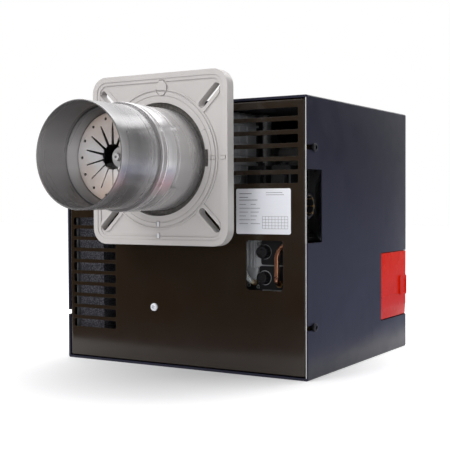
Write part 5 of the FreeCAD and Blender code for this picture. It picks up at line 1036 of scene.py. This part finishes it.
def hood_block(inset, rear, along):
    """The hood's outer form, drawn in by an inset, its rear corners and its long folds rounded."""
    bm = bmesh.new()
    low, high = FLOOR + inset, TOP - inset
    bm.from_mesh(box((LEFT + inset, RIGHT - inset), (FRONT - (2 if inset else 0), BACK - inset), (low, high)))
    upright = [e for e in bm.edges if all(v.co.y > BACK - 20 for v in e.verts)
               and abs(e.verts[0].co.z - e.verts[1].co.z) > 50]
    bmesh.ops.bevel(bm, geom=upright, offset=rear, segments=8, affect="EDGES", profile=0.5)
    bm.normal_update()
    sharp = [e for e in bm.edges if len(e.link_faces) == 2 and e.calc_face_angle() > 1.2]
    level = [e for e in sharp
             if min(v.co.z for v in e.verts) > high - 1 or max(v.co.z for v in e.verts) < low + 1]
    level = [e for e in level if max(v.co.y for v in e.verts) >= FRONT + 1]
    bmesh.ops.bevel(bm, geom=level, offset=along, segments=4, affect="EDGES", profile=0.5)
    return mesh_of(bm)


def hood():
    """Folded hood with a front lip and openings for the notch, the screws, the cover and the rear window."""
    shell = cut(hood_block(0.0, 12.0, 2.2), hood_block(SHEET, 10.5, 0.8))
    lip = box((LEFT + 0.5, RIGHT - 0.5), (FRONT, FRONT + 10), (FLOOR + 0.5, TOP - 0.5), 1.6, "Y", 3)
    lip = cut(lip, box((LEFT + 3, RIGHT - 3), (FRONT - 1, FRONT + 11), (FLOOR + 3, TOP - 3)))
    body = joined(shell, lip)
    cutters = [box((RIGHT - 4, RIGHT + 1), (FRONT - 1, FRONT + NOTCH_DEPTH), NOTCH_Z, 1.2, "X", 3)]
    for z in SIDE_SCREW_Z:
        cutters.append(box((LEFT - 1, RIGHT + 1), (FRONT - 4, FRONT + 19), (z - 3, z + 3), 2.95, "X", 6))
    low, high = COVER_Z
    cutters.append(box((COVER_X - 1, RIGHT + 9), (COVER_FRONT - 1, BACK + 9), (low - 1, high + 1)))
    cutters.append(box(REAR_WINDOW_X, (BACK - 5, BACK + 1), REAR_WINDOW_Z, 2.0, "Y", 3))
    return piece("hood_sheet", cut(body, *cutters), "hood", "hood_enamel", "hood_shell", edge=0.3, steps=2)


def cover():
    """Corner moulding with a rib, a drawn-in lower band and a finger tab."""
    low, high = COVER_Z
    corner = (RIGHT - COVER_CORNER, BACK - COVER_CORNER)
    outline = [(COVER_X, BACK), (COVER_X, BACK - 2.4)] + arc(corner, 9.6, 90, 0, 10)
    outline += [(RIGHT - 2.4, COVER_FRONT), (RIGHT, COVER_FRONT)] + arc(corner, COVER_CORNER, 0, 90, 12)
    bm = bmesh.new()
    levels = [(low, 1.3), (low + 1.2, 0.95), (COVER_BAND_TOP - 0.8, 0.35), (COVER_BAND_TOP, 0.0)]
    levels += [(high - 1.0, 0.0), (high, 0.5)]
    rings = []
    for z, inset in levels:
        ring = []
        for x, y in outline:
            outer = math.hypot(max(0.0, x - corner[0]), max(0.0, y - corner[1])) > 10.5
            shift_x = inset if outer and x > corner[0] else 0.0
            shift_y = inset if outer and y > corner[1] else 0.0
            ring.append(bm.verts.new((x - shift_x, y - shift_y, z)))
        rings.append(ring)
    count = len(outline)
    for one, two in zip(rings, rings[1:]):
        for k in range(count):
            j = (k + 1) % count
            bm.faces.new((one[k], one[j], two[j], two[k]))
    bm.faces.new(rings[0])
    bm.faces.new(rings[-1])
    bmesh.ops.recalc_face_normals(bm, faces=bm.faces)
    skin = mesh_of(bm)
    rib = [(COVER_X + 0.6, BACK - 0.5), (COVER_X + 0.6, BACK - 0.05)] + arc(corner, 12.5, 90, 0, 12)
    rib += [(RIGHT + 0.5, COVER_FRONT + 0.6), (RIGHT - 0.5, COVER_FRONT + 0.6)] + arc(corner, 11.2, 0, 90, 12)
    ridge = prism([(x, min(y, BACK - 0.02)) for x, y in rib], "Z", *COVER_RIB_Z)
    front, rear = BACK - 36, BACK - 12
    foot, head = COVER_TAB_Z
    tab = cut(box((RIGHT - 1, RIGHT + 2.2), (front, rear), COVER_TAB_Z, 1.6, "X", 4),
              box((RIGHT + 0.9, RIGHT + 4), (front + 2.5, rear - 2.5), (foot + 3, head - 3)))
    x, y = RIGHT - 6.5, COVER_FRONT + 9
    lugs = []
    for z in (low + 8, high - 18):
        eye = joined(rod(3.3, (x, y, z), "Z", 10, 32), box((x, RIGHT - 1), (y - 2.3, y + 3.3), (z, z + 10)))
        lugs.append(cut(eye, rod(1.55, (x, y, z - 1), "Z", 12, 24)))
    body = joined(skin, ridge, tab, *lugs)
    return piece("corner_cover", body, "cover", "red_plastic", "control_cover", edge=0.4, steps=3)


def plate():
    """Bare rating plate with a rolled edge; faint printed rules and an empty grid."""
    sheet = box(PLATE_X, (FRONT - 0.6, FRONT), PLATE_Z, 2.2, "Y", 5)
    piece("rating_sheet", sheet, "burner", "plate", "rating_plate", edge=0.2)
    left, high = PLATE_X[0], PLATE_Z[1]
    bars = []

    def bar(x, z, wide, tall):
        across, upright = (left + x, left + x + wide), (high - z - tall, high - z)
        bars.append(box(across, (FRONT - 0.63, FRONT - 0.55), upright))

    for z, wide in ((5.5, 17.0), (10.0, 12.0), (13.2, 25.0)):
        bar(4.5, z, wide, 0.7)
    for z, wide in ((4.6, 22.0), (7.2, 24.0)):
        bar(41.0, z, wide, 0.5)
    for k in range(6):
        bar(4.5, 18.5 + 4.6 * k, 9.0 + 3.0 * ((k * 5) % 3), 0.5)
        bar(20.0, 18.5 + 4.6 * k, 7.0 + 2.0 * ((k * 7) % 4), 0.5)
    for row in range(5):
        bar(36.0, 33.0 + 3.6 * row, 34.0, 0.3)
    for column in range(9):
        bar(36.0 + 4.25 * column, 33.0, 0.3, 14.4)
    return piece("rating_rules", together(bars), "burner", "grey_plastic")


def foam_slab(x, y, z, seed, size=3.0, swing=0.9):
    """A foam block whose skin is uneven, kept inside the block."""
    bm = bmesh.new()
    bm.from_mesh(box(x, y, z))
    for axis, span in enumerate((x, y, z)):
        count = max(1, min(60, round((span[1] - span[0]) / size)))
        for k in range(1, count):
            at = Vector((0, 0, 0))
            at[axis] = span[0] + k * (span[1] - span[0]) / count
            normal = Vector((0, 0, 0))
            normal[axis] = 1
            everything = bm.verts[:] + bm.edges[:] + bm.faces[:]
            bmesh.ops.bisect_plane(bm, geom=everything, plane_co=at, plane_no=normal)
    bm.normal_update()
    centre = Vector(((x[0] + x[1]) / 2, (y[0] + y[1]) / 2, (z[0] + z[1]) / 2))
    for v in bm.verts:
        rough = noise.noise(v.co * 0.35 + Vector((seed, 0, 0))) * 0.5 + 0.5
        inward = [-1 if c > m else 1 for c, m in zip(v.co, centre)]
        near = [1.0 if min(abs(c - s[0]), abs(c - s[1])) < 0.01 else 0.0 for c, s in zip(v.co, (x, y, z))]
        v.co += Vector([a * b for a, b in zip(inward, near)]) * swing * rough
    return mesh_of(bm)


def foam_parts():
    """Foam inside the silencer's two side walls and inside the hood's top, left side and back."""
    (left, right), (low, high) = SILENCER_X, SILENCER_Z
    upright = (low + SHEET, high - SHEET)
    slabs = [foam_slab((left + SHEET, FOAM_INNER), (54, 148), upright, 3),
             foam_slab((right - 9.5, right - SHEET), (54, 148), upright, 8)]
    piece("silencer_foam_slabs", together(slabs), "burner", "foam", "silencer_foam")
    y = (LINING_Y, BACK - 18)
    top = foam_slab((LEFT + 14, RIGHT - 14), y, (TOP - 9.5, TOP - 1.5), 5, 5.0, 0.7)
    left = foam_slab((LEFT + 1.5, LEFT + 9.5), y, (FLOOR + 14, TOP - 20), 9, 5.0, 0.7)
    above = (REAR_WINDOW_Z[1] + 6, TOP - 20)
    back = foam_slab((LEFT + 20, COVER_X - 8), (BACK - 9.5, BACK - 1.5), above, 12, 5.0, 0.7)
    return piece("hood_foam", together([top, left, back]), "hood", "foam", "hood_lining")


# Details behind the panel and under the hood

def heads(name, body, slot, radius, *places):
    """Screw heads, each with its seat's centre and the way it looks."""
    turns = {"+X": ("Y", 90), "-X": ("Y", -90), "+Y": ("X", -90), "-Y": ("X", 90), "+Z": ("X", 0)}
    made = []
    for way, *centre in places:
        axis, degrees = turns[way]
        place = Matrix.Translation(centre) @ Matrix.Rotation(math.radians(degrees), 4, axis)
        made.append(moved(recessed_screw(radius, radius * 0.62, radius * 0.4, "cross"), place))
    return piece(name, together(made), body, slot, edge=0.1)


def motor_details():
    """Hub, ribs and bolts on the motor's free end, its gland and the capacitor's straps."""
    y, z = FAN_AXIS
    end = 119.0
    cap = [turned([(end, 17.0), (end, 27.0), (end + 1.6, 26.0), (end + 2.0, 17.0)], "X", FAN_AXIS, 64)]
    cap.append(turned([(end, 45.5), (end, 49.5), (end + 1.0, 49.0), (end + 1.0, 46.0)], "X", FAN_AXIS, 96))
    for k in range(8):
        rib = box((end - 0.1, end + 1.2), (26.0, 46.5), (-1.1, 1.1))
        cap.append(moved(spun(rib, 45 * k + 22.5, "X"), Matrix.Translation((0, y, z))))
    piece("motor_end_ribs", together(cap), "burner", "cast_aluminium", edge=0.3)
    bolts = [("+X", end, a, b) for a, b in arc(FAN_AXIS, 38.0, 45, 315, 3)]
    heads("motor_bolts", "burner", "zinc_steel", 3.4, *bolts)
    straps = [collar(x, x + 7, 15.9, 16.7, "X", CAPACITOR_AXIS, 64) for x in (40, 76)]
    straps.append(turned([(91.5, 6.0), (91.5, 12.5), (94.5, 11.5), (94.5, 6.0)], "X", CAPACITOR_AXIS, 48))
    piece("capacitor_straps", together(straps), "burner", "zinc_steel", edge=0.2)
    gland = [rod(6.5, (90.0, 282.0, z), "Y", 6.0, 6)]
    gland.append(turned([(288, 2.8), (288, 5.4), (295, 4.6), (295, 2.8)], "Y", (90.0, z), 32))
    return piece("motor_gland", together(gland), "burner", "black_plastic", edge=0.4)


def scroll_details():
    """Screws that follow the scroll's spiral on its right side, and bosses on its left."""
    y, z = FAN_AXIS
    right, left = 9.0, -61.4
    places = []
    for angle in (-20, 25, 70, 115, 160, 205, 250):
        share = (angle + 42.0) / 312.0
        radius = SCROLL_START_R + share * (SCROLL_END_R - SCROLL_START_R) - 6.0
        a = math.radians(angle)
        places.append((y - radius * math.cos(a), z - radius * math.sin(a)))
    heads("scroll_screws", "burner", "zinc_steel", 3.0, *[("+X", right, a, b) for a, b in places])
    bosses = [rod(4.6, (left, *at), "X", 5.4, 24) for at in places]
    return piece("scroll_bosses", together(bosses), "burner", "cast_aluminium", edge=0.4)


def duct_details():
    """Rivets on the intake duct's sides and beads on its top."""
    rivets = []
    left, right = SILENCER_X[0] + 0.5, SILENCER_X[1] - 0.5
    left_head = [(left, 0.0), (left, 2.6), (left - 0.8, 2.2), (left - 1.2, 0.0)]
    right_head = [(right, 0.0), (right, 2.6), (right + 0.8, 2.2), (right + 1.3, 0.0)]
    for k in range(5):
        for y in (62.0, 117.0, 172.0):
            for side in (left_head, right_head):
                rivets.append(turned(side, "X", (y, -238.0 + 51.0 * k), 20, False))
    for y in (86.0, 146.0):
        rivets.append(box((-160.0, -92.0), (y, y + 5.0), (-22.3, -20.9), 0.9, "X", 3))
    return piece("duct_rivets", together(rivets), "burner", "zinc_steel", edge=0.2)


def servo_details():
    """The damper servo's lid with its dial, side ribs and screws."""
    top, dial = 41.2, 43.0
    lid = [box((-149.0, -91.0), (169.0, 213.0), (top - 1.2, top), 3.0, "Z", 4),
           turned([(top, 0.0), (top, 9.0), (dial, 8.0), (dial, 0.0)], "Z", (-120.0, 191.0), 48, False),
           box((-121.0, -119.0), (191.0, 198.0), (dial - 0.2, dial + 0.8))]
    lid += [box((-151.5, -88.5), (171.0 + 7 * k, 173.0 + 7 * k), (8.0, 28.0), 0.8, "X", 2) for k in range(6)]
    piece("servo_lid", together(lid), "burner", "grey_plastic", edge=0.4)
    seats = [("+Z", x, y, top) for x in (-144, -96) for y in (174, 208)]
    return heads("servo_screws", "burner", "zinc_steel", 2.4, *seats)


def elbow_details():
    """Screws and ribs of the elbow between the damper and the fan's inlet."""
    seats = [("+Z", x, y, -2.0) for x in (-154, -68) for y in (226, 287)]
    seats += [("-X", -162.0, y, z) for y in (226, 287) for z in (-103, -12)]
    heads("elbow_screws", "burner", "zinc_steel", 3.0, *seats)
    ribs = [box((-163.2, -161.8), (y, y + 2.0), (-95.0, -20.0), 0.6, "Z", 2) for y in range(222, 277, 18)]
    return piece("elbow_ribs", together(ribs), "burner", SLOT_OF["inlet_elbow"], edge=0.3)


def switch_nipples():
    """Two barbed nipples on the air pressure switch."""
    barbs = []
    for x, z in ((-84.0, 44.0), (-100.0, 40.0)):
        profile = [(z, 0.0), (z, 2.4), (z + 6, 2.4), (z + 6.5, 3.0), (z + 8.5, 2.2), (z + 8.5, 0.0)]
        barbs.append(turned(profile, "Z", (x, 96.0), 24, False))
    return piece("switch_nipples", together(barbs), "burner", "black_plastic", edge=0.15)


def coil_plugs():
    """Plugs and glands on the valve's two coils, and the cap of the gas pressure switch."""
    plugs = []
    front = 61.0
    for x in (99.0, 132.0):
        plugs.append(box((x - 9.0, x + 9.0), (front, front + 7.5), (-33.0, -13.0), 2.5, "Y", 4))
        plugs.append(box((x - 5.0, x + 5.0), (front - 0.8, front + 0.5), (-29.0, -17.0), 1.5, "Y", 3))
        plugs.append(rod(4.6, (x, 64.6, -36.0), "Z", 4.0, 6))
    plugs.append(turned([(-8.0, 0.0), (-8.0, 9.5), (-5.5, 8.6), (-5.5, 0.0)], "Z", (115.0, 106.0), 48, False))
    return piece("coil_plugs", together(plugs), "burner", "black_plastic", edge=0.5)


def controller_details():
    """Ribs, a frame and screws on the controller's face, and ribs on its side towards the panel."""
    face = 166.0
    ribs = [box((face - 0.2, face + 1.0), (312.0, 350.0), (z, z + 2.4), 0.8, "X", 2)
            for z in range(-208, -187, 5)]
    ribs.append(cut(box((face - 0.5, face + 1.2), (312.0, 352.0), (-174.0, -134.0), 2.0, "X", 3),
                    box((face - 1.0, face + 2.0), (314.5, 349.5), (-171.5, -136.5), 1.2, "X", 3)))
    ribs += [box((133.0, 141.0), (283.0, 286.0), (z, z + 8.0), 1.0, "Y", 2) for z in range(-205, -149, 11)]
    piece("controller_ribs", together(ribs), "burner", "grey_plastic", edge=0.3)
    seats = [("+X", face, 292.0, -134.0), ("+X", face, 351.0, -207.0)]
    return heads("controller_screws", "burner", "zinc_steel", 2.6, *seats)


def transformer_details():
    """The ignition transformer's feet, lid, lead sockets and screws."""
    foot, lid = -247.5, -187.4
    feet = [box((x, x + 8.0), (196.0, 230.0), (foot - 3.0, foot), 1.5, "Z", 3) for x in (-67.0, 39.0)]
    feet.append(box((-53.0, 33.0), (183.0, 243.0), (lid - 1.6, lid), 4.0, "Z", 4))
    neck = [(162.8, 6.0), (162.8, 8.0), (166.0, 8.6), (176.5, 8.6), (176.5, 6.0)]
    feet += [turned(neck, "Y", (x, -214.5), 32) for x in (-30.0, 5.0)]
    piece("transformer_lid", together(feet), "burner", "black_plastic", edge=0.5)
    seats = [("+Z", x, y, foot) for x in (-63.5, 43.5) for y in (203, 223)]
    seats += [("+Z", x, y, lid) for x in (-47, 27) for y in (189, 237)]
    return heads("transformer_screws", "burner", "zinc_steel", 2.6, *seats)


def housing_top():
    """Crossed ribs on top of the air housing."""
    upright = (59.5, 61.2)
    ribs = [box((-68.0, 62.0), (y, y + 2.2), upright, 0.6, "X", 2) for y in range(56, 137, 16)]
    ribs += [box((x, x + 2.2), (52.0, 142.0), upright, 0.6, "Y", 2) for x in (-46.0, -2.0, 40.0)]
    return piece("housing_top_ribs", together(ribs), "burner", "cast_aluminium", edge=0.4)


def pipe_union():
    """The union nut between the valve's outlet and the gas pipe."""
    nut = joined(rod(16.0, (63.0, *GAS_OUTLET), "X", 12.0, 6), rod(13.6, (59.0, *GAS_OUTLET), "X", 5.0, 32))
    bore = rod(11.2, (50.0, *GAS_OUTLET), "X", 40.0, 40)
    return piece("pipe_union", cut(nut, bore), "burner", "brass", edge=0.5)


# Studio

CARD_CORNERS = ((-1, -1), (1, -1), (1, 1), (-1, 1))
SIDE_GLOW, CARD_LIFT = (0.42, 0.45, 0.66), 0.0004


def make_camera():
    """The photograph's camera, from its place and the way its picture's right and top point."""
    data = bpy.data.cameras.new("camera")
    data.lens = CAMERA_LENS
    data.sensor_width = 36.0
    camera = bpy.data.objects.new("camera", data)
    back = CAMERA_RIGHT.cross(CAMERA_UP)
    turn = Matrix((CAMERA_RIGHT, CAMERA_UP, back)).transposed().to_4x4()
    camera.matrix_world = Matrix.Translation(CAMERA_PLACE) @ turn
    bpy.context.scene.collection.objects.link(camera)
    bpy.context.scene.camera = camera


def make_studio():
    """A wide pale floor, a white world, the cards that only reflections see, and five soft lamps."""
    floor_z, reach = CAD_LOW.z, 6.0
    mesh = bpy.data.meshes.new("floor")
    mesh.from_pydata([(a * reach, b * reach, floor_z) for a, b in CARD_CORNERS], [], [(0, 1, 2, 3)])
    floor = bpy.data.objects.new("floor", mesh)
    bpy.context.scene.collection.objects.link(floor)
    mesh.materials.append(floor_material())
    world = bpy.data.worlds.new("studio")
    world.use_nodes = True
    bpy.context.scene.world = world
    background_nodes(world.node_tree)
    flag("front_flag", (-0.20, -0.24, 0.17), (0.0, 1.0, 0.0), 1.3, 0.86, (0.030, 0.020, 0.014))
    lying = Matrix.Rotation(math.pi / 2, 4, "X")
    for name, x, y, width, height, color in (("floor_flag", -0.35, -0.50, 1.5, 0.9, (0.14, 0.115, 0.13)),
                                             ("side_floor_flag", 0.52, 0.95, 0.6, 1.7, SIDE_GLOW)):
        card = flag(name, (0.0, 0.0, 0.0), (0.0, 1.0, 0.0), width, height, color)
        card.matrix_world = Matrix.Translation((x, y, floor_z + CARD_LIFT)) @ lying
    flag("side_flag", (0.56, 1.185, 0.37), (-1.0, 0.0, 0.0), 1.53, 1.26, (0.020, 0.021, 0.026), SIDE_GLOW)
    softbox("key", (-0.9, -1.5, 1.5), (0.0, 0.1, -0.05), 1.3, 1.3, 29)
    softbox("front", (-0.3, -2.2, 0.2), (0.0, 0.0, 0.0), 0.7, 0.7, 7)
    softbox("fill", (1.6, -1.2, 0.5), (0.1, 0.15, -0.1), 1.0, 1.4, 5)
    softbox("top", (-0.1, 0.45, 1.7), (0.0, 0.15, 0.0), 2.0, 1.6, 20)
    softbox("back", (0.6, 2.0, 1.1), (0.0, 0.3, 0.0), 1.6, 1.2, 9)


def flag(name, place, facing, width, height, color, foot=None):
    """A dark card that only mirror reflections see; with a foot colour it is paler towards its lower edge."""
    across = Vector((0, 0, 1)).cross(Vector(facing)) * width / 2
    up = Vector((0, 0, height / 2))
    corners = [Vector(place) + a * across + b * up for a, b in CARD_CORNERS]
    mesh = bpy.data.meshes.new(name)
    mesh.from_pydata(corners, [], [(0, 1, 2, 3)])
    f = Finish(name, (0.0, 0.0, 0.0), 0.5, Specular_IOR_Level=0.0, Emission_Strength=1.0)
    f.set("Emission Color", (*color, 1.0))
    if foot:
        rise = f.span(f.axes()[2], place[2] - height / 2, place[2] - height * 0.2)
        f.set("Emission Color", f.mix(rise, foot, color))
    mesh.materials.append(f.material)
    card = bpy.data.objects.new(name, mesh)
    bpy.context.scene.collection.objects.link(card)
    card.visible_camera = False
    card.visible_diffuse = False
    card.visible_transmission = False
    card.visible_shadow = False
    return card


def softbox(name, place, target, width, height, power):
    """A rectangular lamp that looks at a point."""
    lamp = bpy.data.lights.new(name, "AREA")
    lamp.shape = "RECTANGLE"
    lamp.size = width
    lamp.size_y = height
    lamp.energy = power
    obj = bpy.data.objects.new(name, lamp)
    obj.location = place
    obj.rotation_mode = "QUATERNION"
    obj.rotation_quaternion = (Vector(target) - Vector(place)).to_track_quat("-Z", "Y")
    bpy.context.scene.collection.objects.link(obj)
    return obj


def seen_white(tree):
    """1 for the rays that see the backdrop: camera, mirror and glass rays."""
    path = tree.nodes.new("ShaderNodeLightPath")
    total = path.outputs["Is Camera Ray"]
    for kind in ("Is Glossy Ray", "Is Transmission Ray"):
        node = tree.nodes.new("ShaderNodeMath")
        node.operation = "MAXIMUM"
        tree.links.new(total, node.inputs[0])
        tree.links.new(path.outputs[kind], node.inputs[1])
        total = node.outputs[0]
    return total


def background_nodes(tree):
    """White to what sees the backdrop, softer to what is lit by it."""
    background = tree.nodes["Background"]
    background.inputs["Color"].default_value = (1.0, 1.0, 1.0, 1.0)
    spread = tree.nodes.new("ShaderNodeMapRange")
    spread.inputs["To Min"].default_value = 0.45
    spread.inputs["To Max"].default_value = 1.0
    tree.links.new(seen_white(tree), spread.inputs["Value"])
    tree.links.new(spread.outputs[0], background.inputs["Strength"])


def floor_material():
    """Pale floor that shows white where nothing shades it, except near the object, where its white fades out
    into a painted shade round the object's foot.
    """
    f = Finish("floor", (0.82, 0.82, 0.83), 0.9, Emission_Color=(1.0, 1.0, 1.0, 1.0))
    distance = f.tree.nodes.new("ShaderNodeVectorMath")
    distance.operation = "LENGTH"
    f.feed(distance.inputs[0], f.place)
    # The white fades out towards the object: painted shade round its foot, laid over the real shadow.
    spread = f.span(distance.outputs["Value"], 0.26, 0.44, 0.0, 0.64)
    f.set("Emission Strength", f.math("MULTIPLY", seen_white(f.tree), spread))
    return f.material


make_camera()
dress_nodes()
for make in (flame_tube, step_cone, diffuser, nozzle, ignition, lines, knobs, valve, gas_socket, housing_side,
             flange, panel, screws, hood, painted_edge_highlight, cover, plate, foam_parts, motor_details, scroll_details,
             duct_details, servo_details, elbow_details, switch_nipples, coil_plugs, controller_details,
             transformer_details, housing_top, pipe_union):
    make()
make_studio()

bpy.context.scene.view_settings.view_transform = "Standard"
